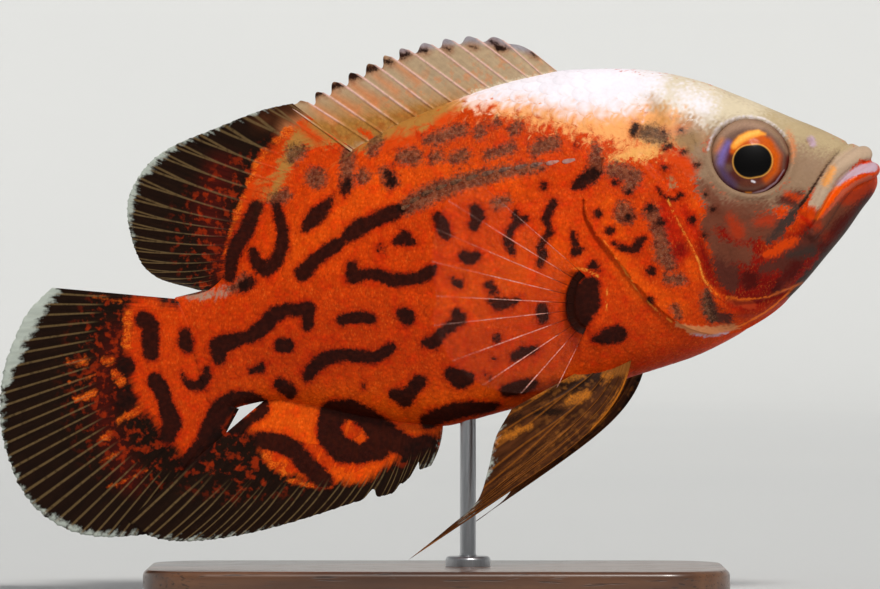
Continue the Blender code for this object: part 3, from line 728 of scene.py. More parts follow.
@dataclass(frozen=True)
class HeadRelief:
    """What stands out of the body's smooth form, mostly on the head."""

    lips: tuple[Lip, ...] = (
        Lip(((0.9, 2.9), (2.4, 3.1), (5.0, 2.5), (8.6, 0.9), (11.3, -1.6), (14.0, -4.3), (16.2, -6.4)), 1.6, 1.0),
        Lip(((0.2, -0.6), (2.2, -1.0), (5.0, -1.4), (8.4, -3.2), (11.3, -5.6), (14.2, -8.0), (16.4, -9.4)), 1.5, 0.8),
    )
    creases: tuple[Crease, ...] = (
        Crease(((3.4, 6.0), (6, 5.2), (8.4, 3.6), (10.8, 1.5), (13.3, -0.7), (15.2, -2.7), (18.0, -4.4)), 0.42, -0.42),
        Crease(((1.6, 1.2), (4.7, 0.6), (8.2, -1.2), (10.2, -2.9), (12.8, -5.1), (16.2, -7.8)), 0.4, -0.45),
        Crease(((17.6, -5.0), (18.6, -7.2), (18.2, -9.6)), 0.8, -0.45),
        Crease(((8.0, 2.4), (11.5, -0.5), (14.8, -3.8)), 1.3, 0.35),
        Crease(((44.8, 15.8), (42.9, 11.2), (41.2, 5.1), (40.0, -2.7), (39.7, -10.2), (39.2, -15.2),
                (36.6, -19.0), (30.6, -20.6)), 0.9, 0.34),
        Crease(((43.6, 15.2), (41.5, 10.9), (39.8, 5.1), (38.6, -2.7), (38.2, -10.0), (37.6, -14.6),
                (35.2, -17.9), (30.2, -18.9), (24.1, -18.6)), 0.5, -0.38),
        Crease(((31.0, 0.5), (31.6, -6.0), (30.0, -11.5), (26.0, -15.0)), 2.2, 0.5),
        Crease(((19.0, -1.5), (23.0, -3.2), (28.5, -2.4)), 1.0, -0.25),
        Crease(((14.0, 4.5), (16.5, -0.5), (20.0, -4.2)), 1.2, -0.22),
        Crease(((45.5, 9.0), (48.0, 2.0), (47.4, -6.0), (44.5, -13.0)), 3.4, 0.35),
        Crease(((47.0, 18.0), (41.0, 20.5), (33.0, 20.5)), 1.4, -0.2),
        Crease(((62.6, -1.5), (63.4, -8.5), (62.8, -15.0)), 2.3, 0.7),
    )
    nostril: tuple[float, float] = (11.3, 8.6)
    nostril_radius: float = 0.9
    gill_step: float = 0.6
    gill_roll: float = 0.22
    gill_roll_width: float = 1.6
    step_end: float = 76.0
    step_fade: float = 17.0
    step_top: float = 18.5
    step_top_fade: float = 4.0
    socket: EyeSocket = EyeSocket()

    def gill_share(self, h: Array) -> Array:
        """How open the gill is at each height: fully below, and not at all above its upper corner."""
        return ease((self.step_top - h) / self.step_top_fade)

    def lift(self, body: Body, points: Array, behind: Array) -> Array:
        """How far the surface stands out of the smooth form.

        Args:
            body: the smooth form.
            points: places on it in the fish's frame.
            behind: 1 where a point lies behind the gill's edge, and 0 on the head.

        Returns:
            The height in mm along the surface's normal.
        """
        seen = points[..., [0, 2]]
        lips = np.maximum(self.lips[0].lift(seen), self.lips[1].lift(seen))
        total = lips + sum(crease.lift(seen) for crease in self.creases)
        total += self.socket.lift(body, points)
        pit = np.linalg.norm(seen - np.array(self.nostril), axis=-1) / self.nostril_radius
        total += self.nostril_radius * (0.4 * np.exp(-(((pit - 1.1) / 0.35) ** 2)) - 0.9 * np.exp(-((pit / 0.6) ** 2)))
        opening = body.gill_opening(body.angle_at(points[..., 0], points[..., 2]))
        gill = self.gill_share(points[..., 2])
        roll = self.gill_roll * np.exp(-(((opening - points[..., 0]) / self.gill_roll_width) ** 2))
        fade = np.clip((self.step_end - points[..., 0]) / self.step_fade, 0, 1)
        return total + np.where(behind > 0.5, -self.gill_step * fade, roll) * gill


@dataclass(frozen=True)
class Patch:
    """A soft-edged area of one tint, as strokes of (x, y, radius) photo pixels."""

    tint: Tint
    softness: float
    strokes: tuple[Run, ...]
    strength: float = 1.0

    def over(self, colour: Array, pixels: Array) -> Array:
        """The colours with this tint laid over them where the strokes reach."""
        share = self.strength * ease(0.5 - nearest(pixels, self.strokes) / self.softness)[..., None]
        return colour * (1 - share) + np.array(self.tint.light) * share


DARK_MARKS: tuple[Run, ...] = (
    ((303, 273, 9), (312, 263, 7.5), (323, 254, 7), (335, 246, 7.5), (343, 240, 4.5)),
    ((349, 235, 7.5), (360, 227, 9.5), (373, 221, 7), (386, 215, 8.5), (397, 211, 7.5)),
    ((397, 242, 5), (404, 237, 7.5), (411, 242, 5.5)),
    ((380, 248, 3.8), (382, 253, 2.6)),
    ((438, 217, 6), (443, 227, 8), (446, 235, 6)),
    ((474, 208, 6), (478, 215, 7.5), (474, 226, 5.5)),
    ((464, 256, 6), (470, 259, 7), (477, 256, 5)),
    ((454, 280, 4), (460, 284, 5)),
    ((352, 266, 6), (353, 277, 7.5), (366, 274, 6), (379, 275, 6), (392, 280, 7.5), (406, 280, 6.5),
     (419, 278, 6.5), (428, 273, 7), (434, 268, 4)),
    ((489, 285, 5), (494, 292, 5)),
    ((490, 301, 3.5), (499, 304, 7), (512, 303, 4.5), (519, 298, 2.5)),
    ((543, 186, 5),),
    ((554, 203, 4.5), (549, 211, 4.5), (546, 218, 5), (548, 226, 3.5), (551, 231, 3.5), (545, 238, 4),
     (540, 248, 4), (543, 256, 5.5), (540, 266, 3)),
    ((514, 214, 4.5), (519, 221, 4.5), (526, 219, 3.8)),
    ((516, 223, 4), (510, 231, 4.5), (508, 240, 5), (510, 248, 5), (513, 253, 3.2)),
    ((573, 233, 3), (575, 242, 4), (575, 252, 5), (583, 249, 2.5)),
    ((589, 267, 2.5), (594, 265, 5), (599, 270, 2)),
    ((576, 186, 5.5), (585, 180, 7), (594, 173, 6)),
    ((598, 214, 5),),
    ((610, 231, 5),),
    ((614, 243, 2.5), (622, 248, 3.6), (630, 250, 3.6), (636, 249, 5), (640, 241, 4.5), (645, 238, 2.8)),
    ((615, 182, 3.8),),
    ((629, 193, 3),),
    ((628, 217, 3.8),),
    ((650, 208, 4.8),),
    ((658, 223, 3), (664, 222, 2)),
    ((651, 271, 5.5),),
    ((651, 300, 4),),
    ((664, 168, 3.4),),
    ((658, 188, 1.6), (661, 194, 2.2), (668, 199, 1.8), (676, 199, 1.8), (681, 195, 3)),
    ((635, 126, 3.6), (633, 133, 3)),
    ((577, 145, 3),),
    ((664, 131, 1.8),),
    ((681, 130, 2.2),),
    ((663, 150, 1.6), (670, 146, 3.2)),
    ((684, 152, 2.8),),
    ((697, 165, 3),),
    ((706, 195, 2),),
    ((713, 209, 2.6),),
    ((692, 220, 4.5),),
    ((703, 235, 3.2),),
    ((590, 286, 10), (584, 303, 17), (580, 322, 9)),
    ((579, 288, 5), (575, 305, 6), (578, 322, 4)),
    ((594, 340, 3), (605, 337, 8), (618, 334, 9.5)),
    ((497, 338, 5),),
    ((542, 308, 6), (543, 319, 6)),
    ((342, 320, 6), (352, 318, 6.5), (364, 317, 6.5), (370, 319, 6.5)),
    ((402, 313, 6.5), (407, 317, 9)),
    ((456, 313, 5.5), (460, 319, 6.5), (452, 326, 5.5), (441, 333, 5.5), (434, 342, 8), (426, 343, 5.5)),
    ((308, 376, 6.5), (312, 369, 7), (321, 361, 7.5), (333, 356, 7), (347, 355, 6.5), (360, 356, 7),
     (373, 358, 6.5), (384, 353, 6), (391, 348, 5.5)),
    ((395, 394, 6.5), (405, 399, 9), (412, 390, 7), (419, 382, 8)),
    ((451, 374, 7.5), (460, 379, 10.5), (469, 379, 6.5)),
    ((515, 357, 6), (523, 352, 6), (536, 349, 4)),
    ((506, 391, 6.5), (518, 388, 8), (532, 384, 6)),
    ((494, 359, 2),),
    ((485, 373, 1.5), (490, 378, 2.5)),
    ((363, 383, 1.5), (364, 388, 2)),
    ((333, 414, 14), (350, 408, 9.5), (369, 420, 11.5), (383, 434, 15), (378, 448, 13), (360, 454, 10),
     (342, 450, 13), (330, 437, 12.5), (329, 424, 12), (333, 414, 14)),
    ((383, 436, 14), (398, 442, 12), (412, 449, 12), (426, 443, 9)),
    ((428, 421, 8.5), (440, 416, 8), (455, 411, 9), (470, 409, 8), (485, 408, 6.5), (497, 406, 3.5)),
    ((144, 320, 9.5), (151, 326, 8.5), (150, 340, 9), (151, 353, 8.5)),
    ((185, 334, 6.5), (186, 343, 8), (188, 348, 6)),
    ((219, 358, 7), (219, 346, 10), (228, 342, 9), (238, 339, 7.5), (250, 337, 6), (258, 331, 8.5),
     (267, 323, 8.5), (275, 314, 8.5), (287, 310, 7), (300, 310, 7), (309, 308, 7)),
    ((308, 312, 7), (308, 327, 5)),
    ((280, 345, 7), (287, 346, 8)),
    ((252, 371, 3.6), (261, 368, 5)),
    ((280, 384, 7), (290, 392, 7.5)),
    ((181, 372, 1.5), (186, 381, 3.5), (193, 386, 5.5), (202, 384, 6), (206, 377, 5.5), (207, 367, 2.5)),
    ((155, 381, 8.5), (160, 387, 8.5), (165, 401, 7.5), (169, 415, 9.5), (172, 424, 10.5), (168, 436, 8)),
    ((126, 366, 9.5),),
    ((126, 400, 10.5),),
    ((262, 404, 7), (248, 397, 7), (232, 399, 8), (222, 408, 11), (212, 424, 10), (204, 444, 9), (188, 462, 8)),
    ((264, 410, 6), (250, 420, 5), (235, 430, 5)),
    ((262, 440, 9), (280, 443, 10), (295, 451, 10), (308, 466, 10), (324, 480, 9)),
    ((250, 282, 6), (243, 287, 6)),
    ((252, 252, 5.5), (257, 263, 7), (266, 270, 7.5), (276, 262, 7.5), (282, 248, 7), (283, 232, 6.5),
     (279, 216, 6), (277, 205, 4)),
    ((257, 207, 7), (250, 219, 8), (246, 232, 8), (237, 245, 8), (232, 260, 7), (229, 277, 6)),
    ((305, 229, 4.5), (311, 221, 8), (318, 214, 9), (326, 206, 6), (331, 198, 3.5)),
    ((346, 184, 5.5), (345, 193, 4.5)),
    ((388, 173, 4.5), (392, 183, 5.5)),
)
SMOKE_MARKS: tuple[Run, ...] = (
    ((316, 178, 9.5),),
    ((348, 152, 5.5), (347, 168, 6.5), (347, 184, 6)),
    ((363, 176, 6.5),),
    ((385, 172, 5), (391, 181, 7)),
    ((403, 157, 6.5), (414, 157, 7.5)),
    ((433, 159, 4), (437, 157, 6)),
    ((455, 158, 5.5), (464, 155, 5.5)),
    ((489, 155, 4.5), (499, 153, 4)),
    ((505, 150, 5), (510, 148, 5)),
    ((536, 149, 6), (543, 145, 6), (554, 143, 6)),
    ((518, 125, 4), (513, 131, 4)),
    ((496, 122, 4),),
    ((481, 130, 5), (479, 136, 4)),
    ((428, 140, 4), (438, 138, 6), (448, 134, 6), (462, 130, 5.5)),
    ((405, 208, 7), (421, 199, 9), (434, 192, 9), (448, 187, 8), (462, 182, 7.5), (480, 178, 7), (500, 173, 6),
     (524, 169, 4.5), (541, 166, 4)),
    ((596, 148, 4), (596, 160, 6), (597, 170, 7), (588, 178, 6)),
    ((614, 170, 7), (626, 174, 8), (633, 176, 8), (629, 188, 5)),
    ((623, 208, 6), (627, 216, 7), (621, 216, 6)),
    ((651, 212, 7), (656, 222, 6), (660, 238, 6), (663, 255, 7.5), (669, 264, 6)),
    ((668, 279, 4), (680, 280, 5)),
    ((638, 131, 4), (650, 133, 7), (662, 136, 5)),
    ((706, 292, 3), (707, 308, 5), (712, 318, 4)),
    ((674, 308, 3), (678, 315, 3)),
    ((505, 201, 5), (495, 204, 4)),
    ((294, 155, 8), (300, 151, 6)),
    ((376, 140, 6), (372, 150, 5)),
    ((244, 282, 7), (232, 289, 3)),
    ((276, 200, 6), (286, 195, 5)),
)
GOLD_EDGES_AND_HIGHLIGHTS: tuple[Run, ...] = (
    ((668, 200, 0.4), (676, 218, 0.2), (690, 243, 0.0), (699, 262, 0.4), (703, 278, 0.2), (712, 292, 0.0)),
    ((604, 240, -0.3), (616, 258, -0.2), (628, 276, 0.2), (640, 296, 0.2), (660, 313, 0.2), (672, 322, 0.4)),
    # Gold along the top and rear edges of the pectoral fin's dark base: painted highlights where those edges catch the
    # light.
    ((572, 268, 0.3), (586, 270, 0.6), (600, 277, 0.4)),
    ((607, 288, 0.2), (606, 312, 0.2)),
)
FLESH_PATCHES_AND_BELLY_LIGHT: tuple[Patch, ...] = (
    Patch(Tint.RUST, 90, (((150, 370, 60), (290, 350, 50), (420, 340, 30)),), 0.4),
    Patch(Tint.BRIGHT_ORANGE, 50, (((300, 250, 25), (360, 195, 22), (430, 168, 16), (520, 180, 14)),
                                   ((460, 300, 20), (560, 250, 20))), 0.6),
    # Brighter orange along the belly: painted light that lifts the underside, which faces away from the light above
    # and would lie in shade.
    Patch(Tint.BRIGHT_ORANGE, 50, (((240, 400, 10), (360, 410, 20), (460, 405, 16), (560, 385, 16)),)),
    Patch(Tint.DEEP_RED, 40, (((690, 372, 26), (640, 374, 14)),), 0.5),
    Patch(Tint.RED, 14, (((664, 208, 8), (672, 232, 12), (676, 254, 12)), ((684, 208, 5), (696, 236, 6)))),
    Patch(Tint.BRIGHT_ORANGE, 12, (((606, 205, 10), (620, 260, 10), (640, 290, 10), (680, 308, 8)),
                                   ((690, 262, 4), (696, 276, 4)), ((700, 204, 8), (708, 216, 4))), 0.7),
    Patch(Tint.DEEP_RED, 10, (((700, 246, 5), (708, 270, 6), (714, 284, 5)), ((680, 250, 8),))),
    Patch(Tint.DEEP_RED, 20, (((722, 212, 16), (740, 240, 26), (748, 290, 26), (800, 260, 30), (850, 215, 14)),)),
)
FLESH_WASHES_AND_HIGHLIGHTS: tuple[Patch, ...] = (
    Patch(Tint.OLIVE_TAN, 22, (((262, 205, 4), (280, 180, 8), (300, 160, 12), (330, 148, 12), (365, 140, 9),
                                (400, 126, 10), (425, 118, 9), (450, 104, 10)),), 0.9),
    Patch(Tint.ORANGE, 10, (((372, 152, 5), (392, 142, 5), (410, 140, 5)), ((440, 122, 4), (452, 114, 4)),
                           ((316, 158, 3), (330, 168, 4)), ((336, 140, 2), (350, 146, 3)), ((402, 130, 2),))),
    Patch(Tint.PEACH, 44, (((466, 100, 8), (520, 108, 12), (580, 118, 18), (620, 126, 22), (655, 126, 20),
                            (686, 128, 14)),), 0.85),
    Patch(Tint.STRAW, 18, (((612, 160, 3), (632, 155, 6), (655, 152, 5)),), 0.75),
    Patch(Tint.SNOUT, 8, (((748, 159, 40),),)),
    Patch(Tint.SNOUT, 24, (((690, 130, 12), (700, 160, 10), (712, 196, 8), (750, 206, 4), (790, 192, 12)),
                           ((730, 120, 30), (790, 140, 34), (806, 172, 20), (830, 156, 18)))),
    Patch(Tint.CREAM, 26, (((650, 86, 16), (690, 92, 20), (712, 104, 20), (760, 112, 16), (790, 124, 10)),)),
    Patch(Tint.OLIVE_BEIGE, 26, (((772, 118, 10), (800, 130, 14), (828, 142, 12), (850, 150, 8)),)),
    # Lilac white over the nape and upper back: the back's own pale colour with a painted highlight of the light from
    # above.
    Patch(Tint.LILAC_WHITE_HIGHLIGHT, 30, (((478, 88, 14), (520, 80, 18), (570, 84, 26), (625, 88, 22), (652, 82, 14)),
                                 ((686, 96, 8), (703, 105, 9)))),
    Patch(Tint.SALMON, 10, (((672, 132, 4), (690, 126, 3)),), 0.8),
    Patch(Tint.ORANGE, 10, (((668, 156, 4), (684, 162, 7), (692, 172, 5)), ((644, 166, 2), (652, 174, 4)))),
    Patch(Tint.OLIVE_TAN, 16, (((653, 100, 3), (660, 112, 7), (664, 123, 4)),), 0.7),
    Patch(Tint.OLIVE_BROWN, 14, (((640, 133, 4), (652, 134, 8), (664, 141, 5)), ((680, 140, 5), (692, 138, 8),
                                 (690, 148, 4)), ((670, 178, 2), (673, 186, 3)))),
    Patch(Tint.MAUVE, 18, (((704, 186, 5), (718, 204, 7), (744, 208, 6), (766, 206, 4)), ((704, 224, 5),
                           (712, 240, 7), (726, 252, 10), (746, 256, 9)))),
    Patch(Tint.DUSK, 16, (((714, 262, 4), (728, 276, 12), (734, 288, 5)), ((762, 270, 5), (786, 262, 8),
                          (808, 244, 12), (822, 226, 8)), ((706, 298, 4), (714, 314, 8), (730, 320, 4)))),
    Patch(Tint.MAUVE, 16, (((716, 214, 10), (748, 228, 12), (774, 228, 10)), ((846, 206, 10), (826, 222, 12)))),
    Patch(Tint.BRICK, 10, (((730, 218, 4), (738, 232, 7)), ((758, 222, 4), (770, 220, 6)), ((786, 284, 5),),
                           ((730, 300, 3), (752, 306, 5)), ((872, 184, 4), (860, 194, 6), (846, 200, 6)),
                           ((830, 238, 6),), ((818, 226, 4),))),
    Patch(Tint.MAROON, 10, (((750, 280, 9),), ((780, 200, 4), (792, 199, 8), (800, 194, 4)), ((796, 266, 7),
                            (776, 290, 5)), ((872, 194, 3), (858, 212, 7), (838, 226, 6), (826, 248, 6))), 0.9),
    Patch(Tint.ASH, 9, (((798, 206, 2), (790, 218, 5), (780, 228, 5), (768, 242, 2)), ((790, 255, 3), (812, 250, 5)),
                        ((866, 200, 2), (846, 232, 3), (820, 262, 4), (790, 296, 3)))),
    Patch(Tint.ORANGE, 8, (((766, 255, 3), (780, 248, 5), (794, 240, 4)), ((787, 194, 2), (798, 198, 2)))),
    Patch(Tint.SALMON, 7, (((676, 324, 2), (694, 330, 4), (712, 331, 4), (738, 327, 2)), ((788, 130, 1),
                           (793, 146, 2.5), (792, 162, 1)))),
    Patch(Tint.PLATE, 6, (((867, 151, 9), (858, 152, 7), (843, 163, 9), (828, 184, 9), (815, 204, 6)),)),
    Patch(Tint.GOLD, 7, (((833, 169, 3), (826, 182, 4)),), 0.8),
    Patch(Tint.ORANGE, 6, (((812, 210, 4), (812, 217, 4)), ((804, 221, 3),))),
    Patch(Tint.FLAME, 3, (((703, 275, 0.6), (716, 294, 1.0), (740, 300, 0.8), (768, 297, 0.8), (802, 283, 0.4)),),
          0.8),
    Patch(Tint.INK, 3, (((699, 272, 0.4), (710, 294, 0.8), (726, 303, 0.6)),), 0.7),
    Patch(Tint.RED, 4, (((802, 217, 2), (810, 224, 3)),)),
    Patch(Tint.LILAC, 5, (((873, 167, 5), (861, 169, 4), (848, 176, 2.5), (838, 184, 2)),)),
    Patch(Tint.BRIGHT_ORANGE, 3, (((856, 177, 0.6), (844, 184, 1.6), (835, 194, 2.4), (827, 206, 2.2),
                                   (819, 217, 1.4)),)),
    Patch(Tint.FLAME, 2.5, (((838, 186, 0.6), (830, 194, 1.4), (824, 205, 1.4), (816, 219, 1.2)),)),
    Patch(Tint.PINK, 3, (((870, 177, 2), (856, 183, 2), (844, 191, 1.8), (834, 204, 1.2), (822, 217, 0.8)),)),
    Patch(Tint.LILAC, 4, (((811, 139, 3.2), (813, 144, 3.2)), ((692, 334, 0.6), (708, 337, 0.8), (728, 333, 0.6)))),
    Patch(Tint.UMBER, 3, (((839, 151, 0.2), (828, 164, 0.8), (815, 184, 1.2), (806, 198, 1.4), (800, 206, 1.6)),)),
    # A thin lilac white arc over the eye: the orbit's pale rim with a painted highlight along its top.
    Patch(Tint.LILAC_WHITE_HIGHLIGHT, 2.5, (((708, 150, 0.2), (712, 136, 0.5), (722, 124, 0.8), (736, 118, 1.0),
                                   (748, 116.5, 1.0), (762, 118, 1.0), (776, 126, 0.7), (786, 138, 0.4)),), 0.8),
    Patch(Tint.FLAME, 2.5, (((738, 327, 0.6), (756, 318, 1.0), (774, 306, 1.0), (792, 289, 0.6)),)),
    Patch(Tint.VEIL, 16, (((136, 288, 1), (176, 293, 3), (204, 296, 5), (226, 292, 4), (240, 284, 2)),), 0.8),
)
FLESHY_RUNS: tuple[Run, ...] = (
    ((232, 272, 9), (247, 242, 15), (266, 200, 20), (282, 174, 24), (304, 154, 27), (326, 142, 30), (348, 148, 24)),
    ((258, 412, 12), (300, 414, 16), (350, 424, 20), (400, 428, 16), (434, 426, 8)),
    ((266, 424, 14), (288, 440, 28), (320, 450, 30), (355, 455, 26), (385, 443, 18)),
    ((146, 316, 18), (165, 345, 38), (172, 380, 38), (186, 420, 26), (188, 452, 6)),
    ((195, 325, 24), (215, 375, 22), (210, 410, 16)),
)
FIN_PATCHES: tuple[Patch, ...] = (
    Patch(Tint.MAROON, 30, (((222, 170, 14), (208, 210, 14), (220, 250, 10), (220, 275, 8)),
                            ((118, 336, 12), (104, 372, 10), (104, 420, 10), (130, 480, 10))), 0.6),
    Patch(Tint.SALMON, 26, (((318, 122, 18), (292, 128, 10)),), 0.7),
    Patch(Tint.BROWN_FIN, 24, (((262, 122, 8), (278, 112, 6), (300, 104, 4)),), 0.9),
)
FIN_WASHES: tuple[Patch, ...] = (
    Patch(Tint.OLIVE_TAN, 20, (((345, 128, 18), (315, 132, 14), (298, 140, 10), (284, 168, 8), (272, 196, 5)),
                               ((266, 184, 4), (254, 220, 3))), 0.8),
    Patch(Tint.ORANGE, 10, (((262, 160, 3), (254, 180, 4), (242, 214, 3)), ((300, 124, 3), (318, 140, 4)))),
    Patch(Tint.VEIL, 14, (((150, 289, 1), (178, 294, 3), (206, 296, 4)),), 0.8),
)
FIN_GLOW: tuple[Run, ...] = (
    ((264, 152, 3), (256, 168, 3), (250, 184, 2)),
    ((276, 140, 3), (290, 130, 3)),
    ((244, 198, 2), (238, 212, 2), (231, 232, 1), (224, 256, 0)),
    ((67, 363, 1.5), (84, 361, 3)),
    ((105, 361, 3), (112, 360, 3)),
    ((115, 372, 3), (121, 380, 4)),
    ((77, 399, 2), (93, 394, 3.5)),
    ((70, 383, -1), (98, 373, 0)),
    ((118, 420, 2), (139, 409, 4)),
    ((99, 441, 1), (113, 433, 2)),
    ((102, 461, 0), (118, 452, 1)),
    ((108, 488, -1), (146, 470, 0)),
    ((128, 314, 4), (127, 346, 4)),
    ((92, 297, -1), (120, 301, 0)),
    ((266, 456, 4), (284, 470, 5)),
    ((290, 480, 2), (315, 486, 2), (330, 488, 0)),
)
FIN_MARGINS: tuple[Run, ...] = (
    ((272, 105, 0), (240, 116, 1), (215, 126, 2), (190, 135, 3), (166, 147, 5), (146, 162, 7), (132, 182, 6),
     (126, 203, 5), (127, 222, 2), (133, 246, -1)),
    ((52, 289, 6), (38, 303, 10), (25, 324, 10), (13, 350, 8), (5, 376, 5), (0, 400, 2), (0, 424, 1), (6, 455, 1),
     (28, 502, 1), (52, 523, 3), (80, 535, 3), (108, 538, 3), (134, 535, 2)),
    ((444, 434, 0), (440, 453, 0.5), (431, 465, 0), (420, 470, -1)),
    ((150, 538, 0), (196, 541, 1), (256, 534, 0), (300, 523, 0)),
)
TIP_FLECKS: tuple[Run, ...] = (
    ((303, 98, 2), (316, 94, 3), (324, 93, 1.5)),
    ((327, 88, 3.2), (343, 83, 3)),
    ((343, 76, 2.5), (352, 76, 4.5), (360, 75, 3)),
    ((367, 69, 3), (379, 66, 3.5)),
    ((383, 60, 1.5), (390, 62, 2.6)),
    ((402, 56, 3.4), (409, 54, 2)),
    ((418, 51, 1.4), (426, 51, 2)),
    ((444, 48, 1.4), (449, 49, 1.8)),
    ((470, 46, 1), (475, 47, 1.6)),
    ((491, 42, 1.5), (499, 48, 3.2), (505, 49, 2)),
    ((532, 52, 2), (536, 54, 2.2)),
)
SPINE_PATCHES: tuple[Patch, ...] = (
    Patch(Tint.OLIVE_TAN, 46, (((470, 96, 2), (430, 106, 6), (390, 112, 10), (350, 118, 14), (310, 130, 16)),), 0.9),
    Patch(Tint.SALMON, 16, (((314, 106, 2), (336, 124, 4)), ((334, 96, 2), (356, 112, 4)), ((354, 86, 2),
                            (376, 102, 4)), ((376, 76, 1), (396, 92, 2)), ((398, 66, 1), (418, 82, 2))), 1.0),
    Patch(Tint.SMOKE, 8, (((300, 99, 3), (325, 88, 4), (345, 76, 4), (362, 68, 4), (380, 60, 4)),), 0.6),
    Patch(Tint.SLATE, 8, (((392, 53, 4), (420, 46, 5), (445, 40, 6), (470, 37, 6), (500, 40, 6), (531, 51, 3)),), 0.8),
)
SPINE_WASHES: tuple[Patch, ...] = (
    Patch(Tint.ORANGE, 12, (((296, 128, 3), (306, 138, 3)), ((360, 130, 2), (372, 138, 3)), ((324, 132, 1),
                            (334, 140, 2)))),
    Patch(Tint.CREAM, 14, (((556, 76, 5), (520, 82, 5), (490, 90, 5), (462, 99, 3)),), 0.8),
)
SPINE_FLESH: tuple[Run, ...] = (
    ((300, 140, 14), (340, 136, 14), (380, 126, 10), (420, 112, 5), (450, 104, 2)),
)
PELVIC_PATCHES: tuple[Patch, ...] = (
    Patch(Tint.DARK_FIN, 30, (((515, 388, 8), (545, 384, 12), (575, 384, 12), (600, 378, 8)),), 0.9),
    Patch(Tint.DARK_FIN, 8, (((648, 380, 7), (640, 402, 8), (624, 426, 7), (598, 447, 5), (560, 466, 3)),), 0.95),
    Patch(Tint.MAROON, 6, (((646, 388, 1.5), (640, 404, 1.5), (622, 430, 1.5)),), 0.8),
)
PELVIC_WASHES: tuple[Patch, ...] = (
    Patch(Tint.BRONZE, 34, (((576, 424, 8), (548, 446, 12), (518, 468, 12), (495, 492, 10), (465, 516, 6)),), 0.45),
    Patch(Tint.DARK_FIN, 12, (((562, 412, 4), (535, 412, 4)), ((500, 424, 2), (520, 416, 3))), 0.8),
    Patch(Tint.AMBER, 10, (((628, 378, 3), (620, 396, 4), (608, 414, 4), (592, 430, 2)), ((604, 376, 3),)), 0.8),
    Patch(Tint.BRONZE, 8, (((622, 366, 5), (640, 368, 5), (606, 372, 4)),)),
    Patch(Tint.PEACH, 6, (((470, 522, 1), (440, 539, 1), (412, 555, 1.5)),), 0.6),
)
PELVIC_GLOW: tuple[Run, ...] = (
    ((497, 440, 3), (515, 432, 4), (533, 425, 2)),
    ((510, 402, 2), (530, 396, 3), (547, 389, 2)),
    ((568, 402, 4), (587, 394, 5)),
    ((562, 380, 2), (580, 375, 4)),
    ((604, 384, 1), (612, 373, 2)),
    ((500, 416, 0), (520, 408, 0)),
    ((560, 440, -3), (510, 474, -3), (470, 510, -3)),
)
PELVIC_MARGINS: tuple[Run, ...] = (
    ((502, 428, 0), (495, 440, 2), (488, 462, 2), (484, 480, 0), (476, 492, 2), (474, 505, 0), (460, 520, 0)),
)
EYE_PATCHES_AND_HIGHLIGHTS: tuple[Patch, ...] = (
    Patch(Tint.SNOUT, 8, (((708, 156, 4), (712, 142, 6), (722, 129, 6), (744, 122, 6), (766, 126, 5),
                          (778, 138, 4), (787, 152, 2)),), 0.9),
    Patch(Tint.VEIL, 6, (((746, 155, 34),),), 0.8),
    Patch(Tint.PEWTER, 9, (((748, 159, 31),),)),
    Patch(Tint.IRIS_BROWN, 8, (((750, 161, 26),),)),
    Patch(Tint.SALMON, 8, (((722, 140, 2), (717, 150, 3)),), 0.8),
    Patch(Tint.PEWTER, 7, (((764, 132, 3), (777, 142, 3), (784, 156, 2), (783, 170, 1)), ((728, 168, 4),)), 0.9),
    Patch(Tint.IRIS_ORANGE, 9, (((768, 142, 4), (776, 156, 5), (775, 170, 4), (766, 180, 3)),)),
    Patch(Tint.VIOLET, 10, (((728, 143, 2), (722, 154, 3.5), (720, 163, 3)),), 0.8),
    Patch(Tint.DEEP_VIOLET, 10, (((721, 170, 3), (726, 179, 4), (733, 186, 3)),), 0.7),
    Patch(Tint.MAUVE, 8, (((744, 184, 4), (760, 184, 3)),), 0.8),
    Patch(Tint.IRIS_ORANGE, 5, (((733, 151, 3), (738, 144, 5), (748, 140, 6), (760, 139, 6), (769, 145, 4)),)),
    Patch(Tint.GOLD, 4, (((734, 146, 3), (741, 139, 4), (749, 135, 4), (758, 133, 3), (765, 134, 1)),)),
    # The brightest gold at the iris's top: the iris's own gold with a painted highlight on it.
    Patch(Tint.IRIS_GOLD, 3, (((736, 143, 1.4), (742, 138, 1.8), (750, 134, 2), (758, 132, 2)),)),
    # A thin lilac line round the eye's lower rim: the orbit's pale rim with a painted highlight along it.
    Patch(Tint.LILAC, 2, (((711, 160, 0.2), (713, 172, 0.5), (718, 183, 0.8), (727, 190, 1.0), (739, 193.5, 1.1),
                           (752, 194, 1.0), (765, 190, 0.8), (776, 182, 0.5), (784, 170, 0.2)),), 0.8),
    Patch(Tint.GOLD, 2, (((746, 193, 1.0), (751, 193, 1.0)),)),
    Patch(Tint.IRIS_GOLD, 1.6, (((749.5, 161.5, 17.2), (756, 160.6, 17)),), 0.7),
    Patch(Tint.BLACK, 1.6, (((749.5, 161.5, 16.2), (756, 160.6, 16)),)),
    # A painted highlight on the pupil: the glint of a light on the wet eye.
    Patch(Tint.LILAC_WHITE_HIGHLIGHT, 1.2, (((752, 181, 1.0), (754.5, 182, 1.0)),), 0.9),
)


MARKS = ("dark", "smoke", "gold", "pale", "glow", "fleshy")


